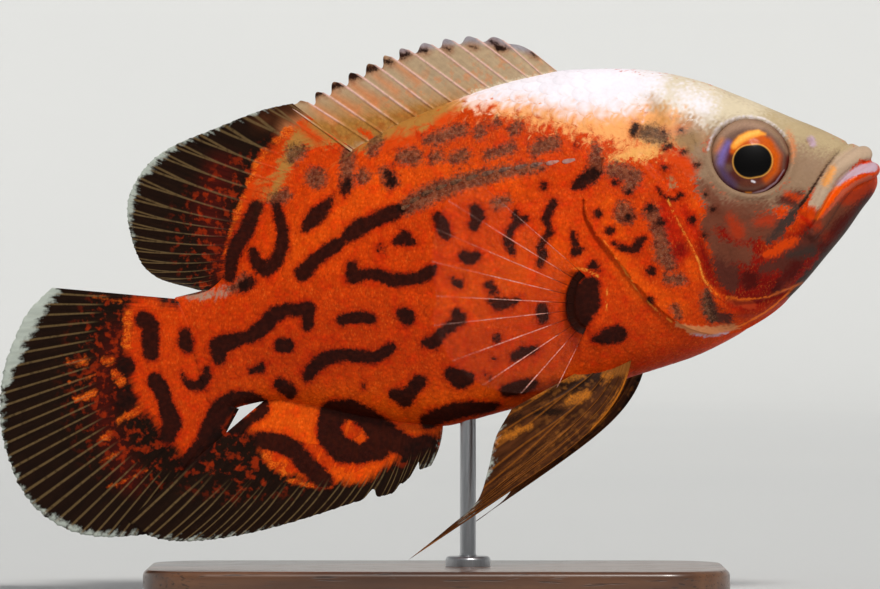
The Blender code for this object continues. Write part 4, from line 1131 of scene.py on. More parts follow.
@dataclass(frozen=True)
class Painter:
    """Lays the fish's colours on the points of its pieces: a ground, a wash over it, and marks."""

    base: Tint
    patches: tuple[Patch, ...]
    washes: tuple[Patch, ...] = ()
    marks: Mapping[str, tuple[Run, ...]] = field(default_factory=dict)
    drift: float = 6.0
    drift_wave: float = 33.0
    drift_start: float = 3.0
    clear: float = 40.0
    blots: float = 0.13
    seed: int = 11

    def pixels(self, points: Array) -> Array:
        """The photo pixels that colour places in the fish's frame.

        Both sides take the pixels that the right side shows. On the left they drift by two slow
        waves, so that its marks aren't a mirror image.
        """
        s, y, h = np.moveaxis(points, -1, 0)
        seen = PHOTO.pixels(POSE.place(s, POSE.swing(s) - np.abs(y), h))
        across, down = np.moveaxis(seen, -1, 0) / self.drift_wave
        waves = np.stack([np.sin(down + 0.4 * across), np.sin(1.3 * across - 0.5 * down)], axis=-1)
        return seen + self.drift * waves * ease(y / self.drift_start)[..., None]

    def washed(self, pixels: Array) -> Array:
        """The washes' colour, with how far they cover the ground as its alpha.

        Each point reads a wash a little off its place, at random and by more where the wash is softer,
        so that its rim breaks up into blots. Where none reaches, the colour is still that of the
        nearest, by a weight too small to cover.
        """
        away = np.random.default_rng(self.seed).normal(0, self.blots, pixels.shape)
        total, cover = np.zeros((*pixels.shape[:-1], 5)), np.zeros(pixels.shape[:-1])
        for patch in self.washes:
            gap = nearest(pixels + away * patch.softness, patch.strokes) / patch.softness
            share = patch.strength * ease(0.5 - gap)
            weight = share + 1e-3 * np.exp(-np.clip(gap, 0, 30))
            total = total * (1 - share)[..., None] + np.array([*patch.tint.light, 1.0]) * weight[..., None]
            cover = 1 - (1 - cover) * (1 - share)
        colour = total[..., :4] / np.maximum(total[..., 4:], 1e-12)
        colour[..., 3] = cover
        return colour

    def paint(self, points: Array) -> dict[str, Array]:
        """The two colours and the signed distances in pixels to each kind of mark, for each point."""
        pixels = self.pixels(points)
        ground = np.broadcast_to(self.base.light, (*pixels.shape[:-1], 4)).copy()
        for patch in self.patches:
            ground = patch.over(ground, pixels)
        paint = {"ground": ground, "over": self.washed(pixels)}
        for name in MARKS:
            paint[name] = np.minimum(nearest(pixels, self.marks.get(name, ())), self.clear)
        return paint


BODY_MARKS = {"dark": DARK_MARKS, "smoke": SMOKE_MARKS, "gold": GOLD_EDGES_AND_HIGHLIGHTS}
FIN_MARKS = BODY_MARKS | {"pale": FIN_MARGINS, "glow": FIN_GLOW, "fleshy": FLESHY_RUNS}
FLESH_PAINT = Painter(Tint.ORANGE, FLESH_PATCHES_AND_BELLY_LIGHT, FLESH_WASHES_AND_HIGHLIGHTS, BODY_MARKS)
BASE_PAINT = Painter(Tint.ORANGE, (), FIN_WASHES, BODY_MARKS)
LINE_PAINT = Painter(Tint.PORE, (Patch(Tint.TAUPE, 60, (((400, 205, 30), (450, 190, 30), (480, 175, 10)),)),),
                     (), {"smoke": SMOKE_MARKS})
FIN_PAINT = Painter(Tint.DARK_FIN, FIN_PATCHES, FIN_WASHES, FIN_MARKS, blots=0.1)
SPINE_PAINT = Painter(Tint.FAWN, SPINE_PATCHES, SPINE_WASHES, {"dark": TIP_FLECKS, "fleshy": SPINE_FLESH}, blots=0.1)
PELVIC_PAINT = Painter(Tint.PELVIC, PELVIC_PATCHES, PELVIC_WASHES, {"pale": PELVIC_MARGINS, "glow": PELVIC_GLOW},
                       blots=0.1)
PECTORAL_PAINT = Painter(Tint.ROSE, ())
EYE_PAINT = Painter(Tint.MAROON, EYE_PATCHES_AND_HIGHLIGHTS, drift=0.0)


class RayKind(Enum):
    """How a fin's rays part on the way out: for each fork, where it starts and ends, and how far it opens."""

    SPINE = ()
    PAIRED = ((0.0, 0.55, 0.25),)
    FORKED = ((0.6, 1.0, 0.15),)
    BRANCHED = ((0.3, 0.8, 0.2),)


@dataclass(frozen=True)
class SkinFinish:
    """What skin and fins share: a beaded, speckled ground, a wash over it, and grey and dark marks."""

    name: str = "wet_skin"
    mottle: float = 0.42
    fleck: float = 0.68
    edge_noise: float = 6.0
    dark_softness: float = 2.2
    smoke_softness: float = 4.0
    halo: float = 7.0
    roughness: float = 0.5
    gloss: float = 0.06
    coat: float = 0.03

    def wobble(self, recipe: Recipe) -> Wire:
        """How far the edges of marks wander, in pixels."""
        grain, fine = recipe.noise(0.9, 4.0), recipe.noise(0.35, 3.0)
        return (grain - 0.5) * self.edge_noise + (fine - 0.5) * self.edge_noise * 0.8

    def speckled(self, recipe: Recipe, ground: Any, shade: Wire) -> Wire:
        """A ground under fine upright golden flecks, redder and darker in slow patches."""
        flecks, patchy = recipe.noise(0.28, 2.0, (1, 1, 2.2)), recipe.noise(2.4, 3.0)
        beads = recipe.ramp(recipe.cells(0.85), 0.15, 0.62, 1.07, 0.88)
        shaded = recipe.tinted(ground, shade * beads)
        shaded = recipe.mix(recipe.ramp(patchy, 0.5, 0.68) * 0.45, shaded, linear(255, 170, 120), "MULTIPLY")
        warm = recipe.ramp(flecks, 0.55, 0.72) * recipe.ramp(patchy, 0.62, 0.36, 0.3, 1.0) * self.fleck
        light = recipe.mix(1.0, shaded, linear(128, 84, 30), "ADD")
        gaps = recipe.ramp(flecks, 0.44, 0.3) * self.fleck
        shaded = recipe.mix(gaps * 0.6, shaded, linear(190, 120, 80), "MULTIPLY")
        return recipe.mix(warm, shaded, light)

    def washed(self, recipe: Recipe, colour: Wire, shade: Wire, grain: Wire) -> Wire:
        """The wash over a colour, breaking up into blots of the grain where it thins out."""
        fine = recipe.noise(0.3, 3.0)
        cover = recipe.painted("over", "Alpha") + (grain - 0.5) * 0.6 + (fine - 0.5) * 0.5
        over = recipe.tinted(recipe.painted("over", "Color"), shade * 0.5 + 0.5)
        return recipe.mix(recipe.ramp(cover, 0.24, 0.76), colour, over)

    def marked(self, recipe: Recipe, colour: Wire, shade: Wire) -> Wire:
        """The cloudy grey marks, the dark marks with a redder rim, and the gold lines, some of which are painted
        highlights.
        """
        wobble = self.wobble(recipe)
        grain, fine, flecks = recipe.noise(0.9, 4.0), recipe.noise(0.35, 3.0), recipe.noise(0.25, 2.0)
        smoke = recipe.ramp(recipe.painted("smoke") + wobble * 2.2 - 1.5, self.smoke_softness, -self.smoke_softness)
        cloud = recipe.mix(recipe.ramp(grain, 0.3, 0.66), linear(52, 27, 19), linear(112, 70, 46))
        cloud = recipe.mix(recipe.ramp(flecks, 0.5, 0.75) * 0.25, cloud, Tint.PLATE.light)
        marked = recipe.mix(smoke * 0.85, colour, recipe.tinted(cloud, shade))
        distance = recipe.painted("dark") + wobble
        marked = recipe.mix(recipe.ramp(distance, self.halo, 0.0) * 0.45, marked, linear(205, 120, 80), "MULTIPLY")
        dark = recipe.ramp(distance, self.dark_softness, -self.dark_softness)
        ink = recipe.mix(recipe.ramp(grain, 0.35, 0.7), Tint.INK.light, Tint.UMBER.light)
        marked = recipe.mix(dark * 0.97, marked, ink)
        # Gold lines: the gill cover's own gold edges, and painted highlights on the pectoral fin's base.
        gold = recipe.ramp(recipe.painted("gold") + wobble * 0.4, 1.6, -0.6)
        return recipe.mix(gold * 0.8, marked, recipe.tinted(Tint.GOLD.light, shade))


@dataclass(frozen=True)
class FleshFinish(SkinFinish):
    """Wet skin, or its scales, whose free edges are a little darker than their middles."""

    pore_depth: float = 0.08
    scaled: bool = False

    def material(self) -> bpy.types.Material:
        """The finish as a material, which reads the marks from the mesh's own attributes."""
        recipe = Recipe(self.name)
        grain, fine, broad = recipe.noise(0.9, 4.0), recipe.noise(0.35, 3.0), recipe.noise(6.0, 3.0)
        shade = 1.0 - self.mottle * 0.62 + self.mottle * (grain * 0.8 + broad * 0.5)
        if self.scaled:
            edge = recipe.ramp(recipe.painted("rear"), 0.7, 1.0, 1.0, 0.85)
            shade = shade * (0.94 + 0.12 * recipe.painted("tone")) * edge
        ground = self.speckled(recipe, recipe.painted("ground", "Color"), shade)
        colour = self.washed(recipe, ground, shade, recipe.noise(1.6, 3.0))
        colour = self.marked(recipe, colour, shade)
        height = fine * 0.6 + grain * 0.4 - recipe.cells(0.85)
        return recipe.finish(height, self.pore_depth, Base_Color=colour,
                             Roughness=self.roughness + (grain - 0.5) * 0.2, Coat_Weight=self.coat,
                             Coat_Roughness=0.2, Specular_IOR_Level=self.gloss)


@dataclass(frozen=True)
class FinFinish(SkinFinish):
    """A fin's membrane, streaked along its rays, with paler rays, a pale margin and a fleshy base."""

    kind: RayKind = RayKind.BRANCHED
    ray: Tint = Tint.OLIVE_GREY
    flesh: Tint = Tint.ORANGE
    ray_share: float = 0.6
    ray_width: float = 0.075
    fade: tuple[float, float] = (0.45, 0.75)
    streak: float = 1.3
    glow: tuple[Tint, Tint] = (Tint.RUST, Tint.FLAME)
    ragged: float = 9.0

    def away(self, recipe: Recipe) -> Wire:
        """How far a point is from the nearest ray, or branch of one, in shares of the rays' spacing."""
        place, share = recipe.painted("place"), recipe.painted("share")
        away = place.maths("ABSOLUTE", place - place.maths("ROUND", place))
        for start, end, apart in self.kind.value:
            away = place.maths("ABSOLUTE", away - recipe.ramp(share, start, end) * apart)
        return away

    def material(self) -> bpy.types.Material:
        """The finish as a material."""
        recipe = Recipe(self.name)
        grain, fine, streaks = recipe.noise(0.9, 4.0), recipe.noise(0.35, 3.0), recipe.streaks(4.0, 0.16, 3.0)
        share, blots = recipe.painted("share"), recipe.noise(1.5, 3.0)
        shade = 1.0 - self.mottle * 0.5 + self.mottle * grain
        rim = self.wobble(recipe) + (streaks - 0.5) * 16.0
        fleshy = recipe.ramp(recipe.painted("fleshy") + rim, 7.0, -5.0)
        streaked = shade * (1.0 - self.streak * 0.5 + self.streak * streaks)
        rusty = recipe.ramp(blots, 0.5, 0.66) * recipe.ramp(share, 0.75, 0.5)
        membrane = recipe.mix(rusty * 0.5, recipe.painted("ground", "Color"), self.glow[0].light)
        membrane = self.washed(recipe, recipe.tinted(membrane, streaked), streaked, streaks)
        skin = self.speckled(recipe, self.flesh.light, shade)
        colour = recipe.mix(fleshy, membrane, self.washed(recipe, skin, shade, blots))
        rags = ((blots - 0.5) * 1.6 + (streaks - 0.5)) * self.ragged
        glow = recipe.ramp(recipe.painted("glow") + rags, 2.5, -2.5)
        warm = recipe.mix(recipe.ramp(fine + streaks, 0.8, 1.2), self.glow[0].light, self.glow[1].light)
        colour = recipe.mix(glow * 0.9, colour, recipe.tinted(warm, shade))
        colour = self.marked(recipe, colour, shade)
        away = self.away(recipe)
        line = recipe.ramp(away, self.ray_width, self.ray_width * 0.2) * recipe.ramp(share, *self.fade)
        line = line * recipe.ramp(recipe.painted("fleshy") + rags, -6.0, 8.0) * recipe.ramp(grain, 0.3, 0.5, 0.5, 1.0)
        colour = recipe.mix(line * self.ray_share, colour, recipe.tinted(self.ray.light, 0.7 + fine * 0.6))
        reach = (streaks - 0.5) * 22.0 + (recipe.noise(0.8, 3.0) - 0.5) * 12.0
        pale = recipe.ramp(recipe.painted("pale") + reach, 4.0, -4.0)
        colour = recipe.mix(pale * 0.9, colour, recipe.tinted(Tint.MARGIN.light, 0.6 + streaks * 0.7))
        return recipe.finish(fine * 0.5 + streaks, 0.05, Base_Color=colour, Roughness=self.roughness,
                             Coat_Weight=self.coat, Coat_Roughness=0.2, Specular_IOR_Level=self.gloss)


@dataclass(frozen=True)
class ClearFinFinish:
    """A clear fin: a faint membrane with whitish rays that fade towards the margin."""

    name: str = "clear_fin"
    membrane: float = 0.008
    ray: float = 0.85
    faded: float = 0.1

    def material(self) -> bpy.types.Material:
        """The finish as a material whose alpha follows the rays."""
        recipe = Recipe(self.name)
        grain = recipe.noise(0.8, 2.0)
        out = recipe.painted("out")
        ray = recipe.ramp(recipe.painted("ray"), 0.35, 0.8)
        dark = recipe.ramp(out - ray * 2.4, 4.6, 3.8)
        root = recipe.ramp(out - ray * 2.4, 3.2, 2.4)
        bright = recipe.ramp(recipe.noise(2.2, 2.0), 0.4, 0.62, 0.35, 1.0)
        ray = ray * recipe.ramp(out, 9.0, 26.0, self.ray, self.faded) * bright
        beads = recipe.wave(out, 0.8)
        colour = recipe.mix(beads * 0.3 + grain * 0.5, linear(226, 120, 90), linear(250, 214, 204))
        colour = recipe.mix(dark, colour, recipe.tinted(Tint.UMBER.light, 0.4 + grain * 0.8))
        alpha = self.membrane + ray * (0.75 + 0.25 * beads)
        alpha = alpha.maths("MAXIMUM", alpha, root)
        return recipe.finish(None, 0.0, Base_Color=colour, Alpha=alpha, Roughness=0.5, Coat_Weight=0.0,
                             Specular_IOR_Level=0.05)


@dataclass(frozen=True)
class EyeFinish:
    """A glossy painted eye, under the clear coat that stands for its wet cornea."""

    name: str = "eye"

    def material(self) -> bpy.types.Material:
        """The finish as a material."""
        recipe = Recipe(self.name)
        grain = recipe.noise(0.5, 3.0)
        fine = recipe.noise(0.15, 2.0)
        colour = recipe.tinted(recipe.painted("ground", "Color"), 0.66 + grain * 0.5 + fine * 0.26)
        return recipe.finish(None, 0.0, Base_Color=colour, Roughness=0.45, Coat_Weight=0.05, Coat_Roughness=0.1,
                             Specular_IOR_Level=0.05)


@dataclass(frozen=True)
class WalnutFinish:
    """Dark walnut with a satin lacquer: long grain along x with darker pores."""

    name: str = "walnut"

    def material(self) -> bpy.types.Material:
        """The finish as a material."""
        recipe = Recipe(self.name)
        rings = recipe.noise(7.0, 4.0, (12, 1, 1))
        pores = recipe.noise(0.5, 2.0, (18, 1, 1))
        stops = [(0.30, linear(48, 28, 18)), (0.5, linear(86, 54, 34)), (0.62, linear(110, 72, 46)),
                 (0.75, linear(70, 42, 27))]
        wood = recipe.node("ShaderNodeValToRGB", {"stops": stops}, {0: rings})
        pore = recipe.ramp(pores, 0.58, 0.68)
        colour = recipe.mix(pore * 0.6, wood, linear(30, 17, 11))
        return recipe.finish(rings * 0.3 - pore * 0.5, 0.08, Base_Color=colour, Roughness=0.34 + pore * 0.2,
                             Coat_Weight=0.4, Coat_Roughness=0.2)


@dataclass(frozen=True)
class SteelFinish:
    """Steel brushed along the rod."""

    name: str = "brushed_steel"

    def material(self) -> bpy.types.Material:
        """The finish as a material."""
        recipe = Recipe(self.name)
        brush = recipe.noise(0.12, 2.0, (1, 1, 40))
        colour = recipe.mix(brush, linear(150, 151, 154), linear(196, 197, 200))
        return recipe.finish(brush, 0.02, Base_Color=colour, Metallic=1.0, Roughness=0.24 + brush * 0.16)


@dataclass(frozen=True)
class FloorFinish:
    """A plain matt pale floor."""

    name: str = "studio_floor"

    def material(self) -> bpy.types.Material:
        """The finish as a material."""
        recipe = Recipe(self.name)
        shade = recipe.noise(400.0, 1.0)
        colour = recipe.mix(shade, linear(206, 208, 208), linear(212, 213, 212))
        return recipe.finish(None, 0.0, Base_Color=colour, Roughness=0.7)


@dataclass
class Skin:
    """One skin from the snout to the tail fin, with the head's relief and the gill cover's free edge."""

    body: Body = Body()
    relief: HeadRelief = HeadRelief()
    painter: Painter = FLESH_PAINT
    head_rings: int = 158
    trunk_rings: int = 150
    columns: int = 316
    snout_spacing: float = 1.75
    tuck: float = 0.55
    step: float = 0.003

    def smooth_point(self, s: Array, angle: Array) -> Array:
        """Places on the smooth form in the fish's frame."""
        y, h = self.body.section(s, angle)
        return np.stack(np.broadcast_arrays(s, y, h), axis=-1)

    def point(self, s: Array, angle: Array, behind: Array, lift: Array | float = 0.0) -> Array:
        """Places on the skin in the fish's frame.

        The normal is the cross product of the smooth form's differences along s and round the
        oval, turned away from the oval's middle, and the relief and the lift run along it.

        Args:
            s: how far back.
            angle: the oval's angle from the back's ridge.
            behind: 1 behind the gill's edge, 0 on the head.
            lift: more height over the relief.

        Returns:
            The places, as an array (..., 3).
        """
        base = self.smooth_point(s, angle)
        along = self.smooth_point(s * (1 + self.step), angle) - self.smooth_point(s * (1 - self.step), angle)
        round_it = self.smooth_point(s, angle + self.step) - self.smooth_point(s, angle - self.step)
        normal = np.cross(along, round_it)
        middle = np.stack(np.broadcast_arrays(s + 6.0, 0 * s, self.body.widest(s)), axis=-1)
        normal *= np.sign(np.sum(normal * (base - middle), axis=-1, keepdims=True))
        normal /= np.maximum(np.linalg.norm(normal, axis=-1, keepdims=True), 1e-12)
        return base + normal * (self.relief.lift(self.body, base, behind) + lift)[..., None]

    def grid(self) -> Array:
        """The skin's places: rings of the head, two tucked under the gill's edge, and rings of the trunk."""
        angle = self.body.bunch(np.arange(self.columns) / self.columns)[None, :]
        opening = self.body.gill_opening(angle)
        share = np.linspace(0, 1, self.head_rings + 1)[1:, None]
        head = self.point(opening * share**self.snout_spacing, angle + 0 * share, 0 * opening * share)
        gill = self.relief.gill_share(self.body.section(opening, angle)[1])
        back = np.linspace(0, 1, self.trunk_rings)[:, None]
        trunk_s = opening + 0.05 + (self.body.length - opening - 0.05) * back
        tucked = opening + 0.02 - self.tuck * gill
        rear = np.concatenate([tucked, trunk_s])
        trunk = self.point(rear, angle + 0 * rear, 1 + 0 * rear)
        return np.concatenate([head, trunk])

    def build(self, finish: FleshFinish) -> None:
        """Makes the skin, which replaces every node of flesh."""
        local = self.grid()
        snout = local[0].mean(axis=0)
        tail = local[-1].mean(axis=0)
        rings = np.arange(local.shape[0] * local.shape[1]).reshape(local.shape[:2])
        surface = Surface.sheet(local, around=True)
        surface.cap(rings[0], snout)
        surface.cap(rings[-1][::-1], tail)
        surface.paint = self.painter.paint(surface.points)
        surface.points = swum(surface.points)
        surface.outward()
        surface.build("skin", finish.material(), "skin",
                      ["head", "lower_jaw", "gill_cover_right", "gill_cover_left", "torso", "tail_stalk"])


def swum(points: Array) -> Array:
    """World points of places in the fish's frame, with the tail's swing."""
    s, y, h = np.moveaxis(points, -1, 0)
    return POSE.place(s, y + POSE.swing(s), h)


@dataclass(frozen=True)
class Plate:
    """One scale, over a from -1 to 1 across it and b from 0 at its root to 1 at its free edge.

    Its outermost points are doubled, and go down into the skin as a skirt.
    """

    rise: float
    skirt: float = 0.10
    length: float = 1.5
    width: float = 1.25
    rounding: float = 0.30
    arch: float = 0.25
    patch: float = 0.003
    a: Array = field(default_factory=lambda: np.array([-1, -1, -0.62, -0.21, 0.21, 0.62, 1, 1])[None, None, :])
    b: Array = field(default_factory=lambda: np.array([0, 0, 0.32, 0.55, 0.74, 0.89, 1, 1])[None, :, None])

    def reach(self) -> Array:
        """How far out each point lies in pitches, less towards the plate's sides."""
        return self.length * self.b * (1 - self.rounding * np.abs(self.a) ** 2.4)

    def lift(self, fade: Array) -> Array:
        """Each point's height over the skin, which rises evenly to the free edge where it isn't faded."""
        outer = np.zeros((1, self.b.size, self.a.size), bool)
        outer[:, [0, -1], :] = True
        outer[:, :, [0, -1]] = True
        rise = self.rise * (0.25 + 0.75 * fade) * (0.15 + 0.85 * self.b**1.2 - self.arch * self.a**2)
        return np.where(outer, -self.skirt, rise)

    def mesh(self, local: Array, painter: Painter, fade: Array, unwrap: tuple[Array, Array],
             rng: np.random.Generator) -> Surface:
        """The plates as one painted surface.

        Args:
            local: each plate's points in the fish's frame, as an array (plates, rows, columns, 3).
            painter: what paints them.
            fade: 0 to 1, how plain the free edge of each is, as an array (plates, 1, 1).
            unwrap: each root's place on an unwrap of the skin, as two arrays (plates, 1, 1).
            rng: what draws each plate's own tone.
        """
        surface = Surface.many(local)
        surface.paint = painter.paint(surface.points)
        flat = np.zeros(local.shape[:-1])
        surface.paint["tone"] = (rng.random(len(local))[:, None, None] + flat).reshape(-1)
        surface.paint["rear"] = (self.b * fade + flat).reshape(-1)
        u = unwrap[0] + self.patch * (self.b - 0.5) + flat
        v = unwrap[1] * (1 - 2 * self.patch) + self.patch * (1 + 0.5 * self.a) + flat
        surface.uv = np.stack([u, v], axis=-1).reshape(-1, 2)
        surface.points = swum(surface.points)
        return surface


@dataclass
class ScaleCoat:
    """Overlapping scales in rows round the body."""

    name: str
    skin: Skin
    start: float
    end: float
    pitch: Curve
    plate: Plate
    on_head: bool = False
    painter: Painter = FLESH_PAINT
    forward: float = 12.0
    settle: float = 9.0
    seed: int = 5
    girth_share: float = 0.92

    def roots(self) -> Array:
        """Each scale's (s, share of the way round, share that one row takes, pitch), row by row."""
        rows: list[Array] = []
        s, row = self.start, 0
        body = self.skin.body
        while s < self.end:
            pitch = float(self.pitch(s))
            deep = float(body.back(s) - body.belly(s)) / 2
            wide = float(body.half_width(s))
            girth = math.pi * (3 * (deep + wide) - math.sqrt((3 * deep + wide) * (deep + 3 * wide)))
            count = max(round(girth / pitch / self.girth_share), 8)
            share = (np.arange(count) + 0.5 * (row % 2)) / count
            rows.append(np.stack([np.full(count, s), share, np.full(count, 1 / count), np.full(count, pitch)], axis=1))
            s, row = s + pitch, row + 1
        return np.concatenate(rows)

    def inside(self, roots: Array) -> Array:
        """How far in mm each root lies inside the coat's border.

        The trunk's coat starts at the gill's edge, and further forward on the nape. The head's
        lies round the cheek and gill cover, behind the mouth and clear of the eye.
        """
        angle = self.skin.body.bunch(roots[:, 1])
        s, h = roots[:, 0], self.skin.smooth_point(roots[:, 0], angle)[:, 2]
        opening, top = self.skin.body.gill_opening(angle), self.skin.relief.step_top
        if not self.on_head:
            start = np.where(h > top + 0.3, opening - self.forward * ease((h - top - 0.3) / 6), opening)
            return s - start - 0.3
        socket = self.skin.relief.socket
        away = np.hypot(s - socket.s, h - socket.h) - socket.radius - 3.0
        return np.minimum.reduce([opening - 2.6 - s, top - h, h + 17, away, s - 23.0 + 0.25 * h])

    def build(self, finish: FleshFinish) -> None:
        """Makes the coat as one mesh that follows the skin's own surface."""
        rng = np.random.default_rng(self.seed)
        roots = self.roots()
        inside = self.inside(roots)
        roots, inside = roots[inside > 0], inside[inside > 0]
        plate = self.plate
        s, share, row, pitch = (roots[:, i, None, None] for i in range(4))
        size = 1 + 0.12 * (rng.random(len(roots)) - 0.5)[:, None, None]
        tilt = 0.25 * (rng.random(len(roots)) - 0.5)[:, None, None]
        at_s = np.minimum(s + pitch * size * plate.reach(), self.skin.body.length + 0.4)
        spread = 0.5 * plate.width * size * plate.a * (1 - 0.1 * plate.b) + 0.1 * tilt * plate.b
        fade = ease(inside / self.settle)[:, None, None]
        behind = np.full(at_s.shape, 0.0 if self.on_head else 1.0)
        local = self.skin.point(at_s, self.skin.body.bunch(share + row * spread), behind, plate.lift(fade) + 0 * at_s)
        unwrap = (s / self.skin.body.length, np.mod(share, 1))
        surface = plate.mesh(local, self.painter, fade, unwrap, rng)
        surface.faces = [self.turned(surface, local)]
        surface.build(self.name, finish.material(), "skin", sharp=PLATE_SHARP)
        log.info("%s: %d scales", self.name, len(roots))

    def turned(self, surface: Surface, local: Array) -> Array:
        """The plates' faces, all turned out of the body, judged by most of them."""
        faces = surface.faces[0]
        corners = surface.points[faces]
        normal = np.cross(corners[:, 1] - corners[:, 0], corners[:, 2] - corners[:, 0])
        middle = swum(np.stack([local[..., 0], 0 * local[..., 0], self.skin.body.widest(local[..., 0])], axis=-1))
        out = corners.mean(axis=1) - middle.reshape(-1, 3)[faces].mean(axis=1)
        top = np.sum(normal * out, axis=1)
        return faces[:, ::-1] if np.median(np.sign(top)) < 0 else faces


@dataclass
class SideLine(ScaleCoat):
    """The side line's raised tubes, one behind the other along each flank."""

    path: Run = (
        (574, 160.5), (558, 162), (542, 164), (526, 166), (510, 168.5), (494, 172), (478, 176), (462, 180.5),
        (447, 185.5), (433, 191), (420, 198), (410, 205.5),
    )
    tube: tuple[float, float] = (0.0040, 0.0045)

    def roots(self) -> Array:
        """Each tube's root on both sides, where the camera sees the line on the right one."""
        s, h = np.array(traced(self.path)).T
        share = np.linspace(0, 0.5, 400)
        body = self.skin.body
        right = np.interp(body.angle_at(s, h), body.bunch(share), share)
        width, pitch = np.linspace(*self.tube, len(s)), np.gradient(s)
        return np.concatenate([np.stack([s, place, width, pitch], axis=1) for place in (right, 1 - right)])

    def inside(self, roots: Array) -> Array:
        """Far inside the coat's border for every tube."""
        return np.full(len(roots), self.settle)


@dataclass
class Fin:
    """A thin fin: rays standing out of a membrane that thickens towards its root.

    Its middle surface runs from a base curve to a tip curve, and both faces lie half the thickness
    either side of it, straight across the fish.
    """

    name: str
    node: str
    rays: int
    painter: Painter
    slot: str = "fin"
    kind: RayKind = RayKind.BRANCHED
    membrane: float = 0.34
    ridge: float = 0.16
    ray_width: float = 0.085
    steps: int = 18
    rows: int = 56
    bare: float = 0.12

    def shares(self) -> Array:
        """Where the columns stand along the fin, from its front ray at 0 to its last at 1."""
        return np.linspace(0, 1, (self.rays - 1) * self.steps + 1)[:, None]

    def outwards(self) -> Array:
        """Where the rows stand, from the base at 0 to the margin at 1."""
        return np.linspace(0, 1, self.rows + 1)[None, :]

    def crest(self, at: Array, r: Array) -> Array:
        """How much of a ray each point is on: a bell curve over the distance to the nearest ray or branch.

        The distance is in shares of the space between rays. Past each fork it is taken to a branch
        that draws away from the ray.
        """
        place = at * (self.rays - 1)
        away = np.abs(place - np.round(place)) + 0 * r
        for start, end, apart in self.kind.value:
            away = np.abs(away - apart * ease((r - start) / (end - start)))
        return np.exp(-((away / self.ray_width) ** 2)) * ease(r / self.bare)

    def middle(self, at: Array, r: Array) -> Array:
        """The middle surface's places in the fish's frame."""
        raise NotImplementedError

    def root(self, at: Array, r: Array) -> Array:
        """How much half the thickness grows towards the root."""
        raise NotImplementedError

    def half(self, at: Array, r: Array) -> Array:
        """Half the thickness: the membrane, thinner near its margin, the root, and the ray's ridge."""
        edge = 1 - 0.75 * ease((r - 0.8) / 0.2)
        return self.membrane / 2 * edge + self.root(at, r) + self.ridge * self.crest(at, r) * (1 - r) ** 0.6 * edge

    def painted(self, at: Array, r: Array, middle: Array) -> dict[str, Array]:
        """What is painted on the fin, and each point's own place on it."""
        steps = np.linalg.norm(np.diff(middle, axis=-2), axis=-1)
        paint = self.painter.paint(middle)
        paint["ray"] = self.crest(at, r) + 0 * middle[..., 0]
        paint["place"] = at * (self.rays - 1) + 0 * middle[..., 0]
        paint["share"] = r + 0 * middle[..., 0]
        paint["out"] = np.concatenate([0 * steps[..., :1], np.cumsum(steps, axis=-1)], axis=-1)
        return paint

    def build(self, material: bpy.types.Material) -> None:
        """Makes the fin as one closed surface, which replaces its node."""
        at, r = self.shares(), self.outwards()
        middle = self.middle(at, r)
        across = (self.half(at, r) + 0 * middle[..., 0])[..., None] * np.array([0, 1, 0])
        ring = np.concatenate([middle + across, (middle - across)[:, ::-1]], axis=1)
        surface = Surface.sheet(ring, around=True)
        index = np.arange(ring.shape[0] * ring.shape[1]).reshape(ring.shape[:2])
        for row in (index[0], index[-1][::-1]):
            fold = len(row) // 2
            near, far = row[:fold], row[fold:][::-1]
            surface.faces.append(np.stack([near[:-1], near[1:], far[1:], far[:-1]], axis=-1))
        surface.paint = {
            key: np.concatenate([value, value[:, ::-1]], axis=1).reshape(-1, *value.shape[2:])
            for key, value in self.painted(at, r, middle).items()
        }
        surface.points = swum(surface.points)
        surface.outward()
        surface.build(self.name, material, self.slot, [self.node])


@dataclass
class MedianFin(Fin):
    """A fin in the fish's middle plane, between two curves traced in the photograph."""

    base: Run = ()
    tip: Run = ()
    thick: float = 2.4
    sink: float = 1.6
    end: float = 0.12
    tapers: tuple[bool, bool] = (True, True)
    lean: Callable[[Array, Array], Array] = lambda at, r: 0.0 * at * r
    reach: Callable[[Array], Array] = lambda at: 1.0 + 0 * at
    bow: Callable[[Array], Array] = lambda at: 0 * at
    fray: float = 0.012

    def frayed(self, at: Array) -> Array:
        """How much of its length each ray has left: three waves out of step make an uneven margin."""
        place = at * (self.rays - 1) * 2 * math.pi
        wave = np.sin(2.0 * place) + 0.8 * np.sin(3.4 * place + 1.0) + 0.7 * np.sin(5.7 * place + 2.0)
        return 1 - self.fray * (0.5 + 0.2 * wave)

    def middle(self, at: Array, r: Array) -> Array:
        """From the sunk base to the tip curve, bowed by 4 r (1 - r)."""
        start, tip = stations(traced(self.base))(at), stations(traced(self.tip))(at)
        direction = (tip - start) / np.linalg.norm(tip - start, axis=-1, keepdims=True)
        start = start - direction * self.sink
        length = self.reach(at) * self.frayed(at)
        seen = start + (tip - start) * r[..., None] * length[..., None]
        across = np.stack([direction[..., 1], -direction[..., 0]], axis=-1)
        seen = seen + across * (self.bow(at) * 4 * r * (1 - r))[..., None]
        return np.stack([seen[..., 0], self.lean(at, r) + 0 * seen[..., 0], seen[..., 1]], axis=-1)

    def root(self, at: Array, r: Array) -> Array:
        """The root's own half thickness over the membrane's, faded with the square of the way out."""
        inward = np.minimum(at if self.tapers[0] else 1, 1 - at if self.tapers[1] else 1)
        share = np.sqrt(np.clip(inward / self.end, 0, 1))
        return (self.thick - self.membrane) / 2 * share * (1 - r) ** 2


@dataclass
class TailFin(MedianFin):
    """The tail fin, whose root is as thick as the end of the body."""

    body: Body = Body()

    def root(self, at: Array, r: Array) -> Array:
        """Half the width of the body's oval at its end, faded with the square of the way out."""
        oval = np.maximum(1 - np.abs(2 * at - 1) ** self.body.belly_roundness, 0) ** 0.5
        return np.maximum(self.body.half_width(self.body.length) * oval - self.membrane / 2, 0) * (1 - r) ** 2


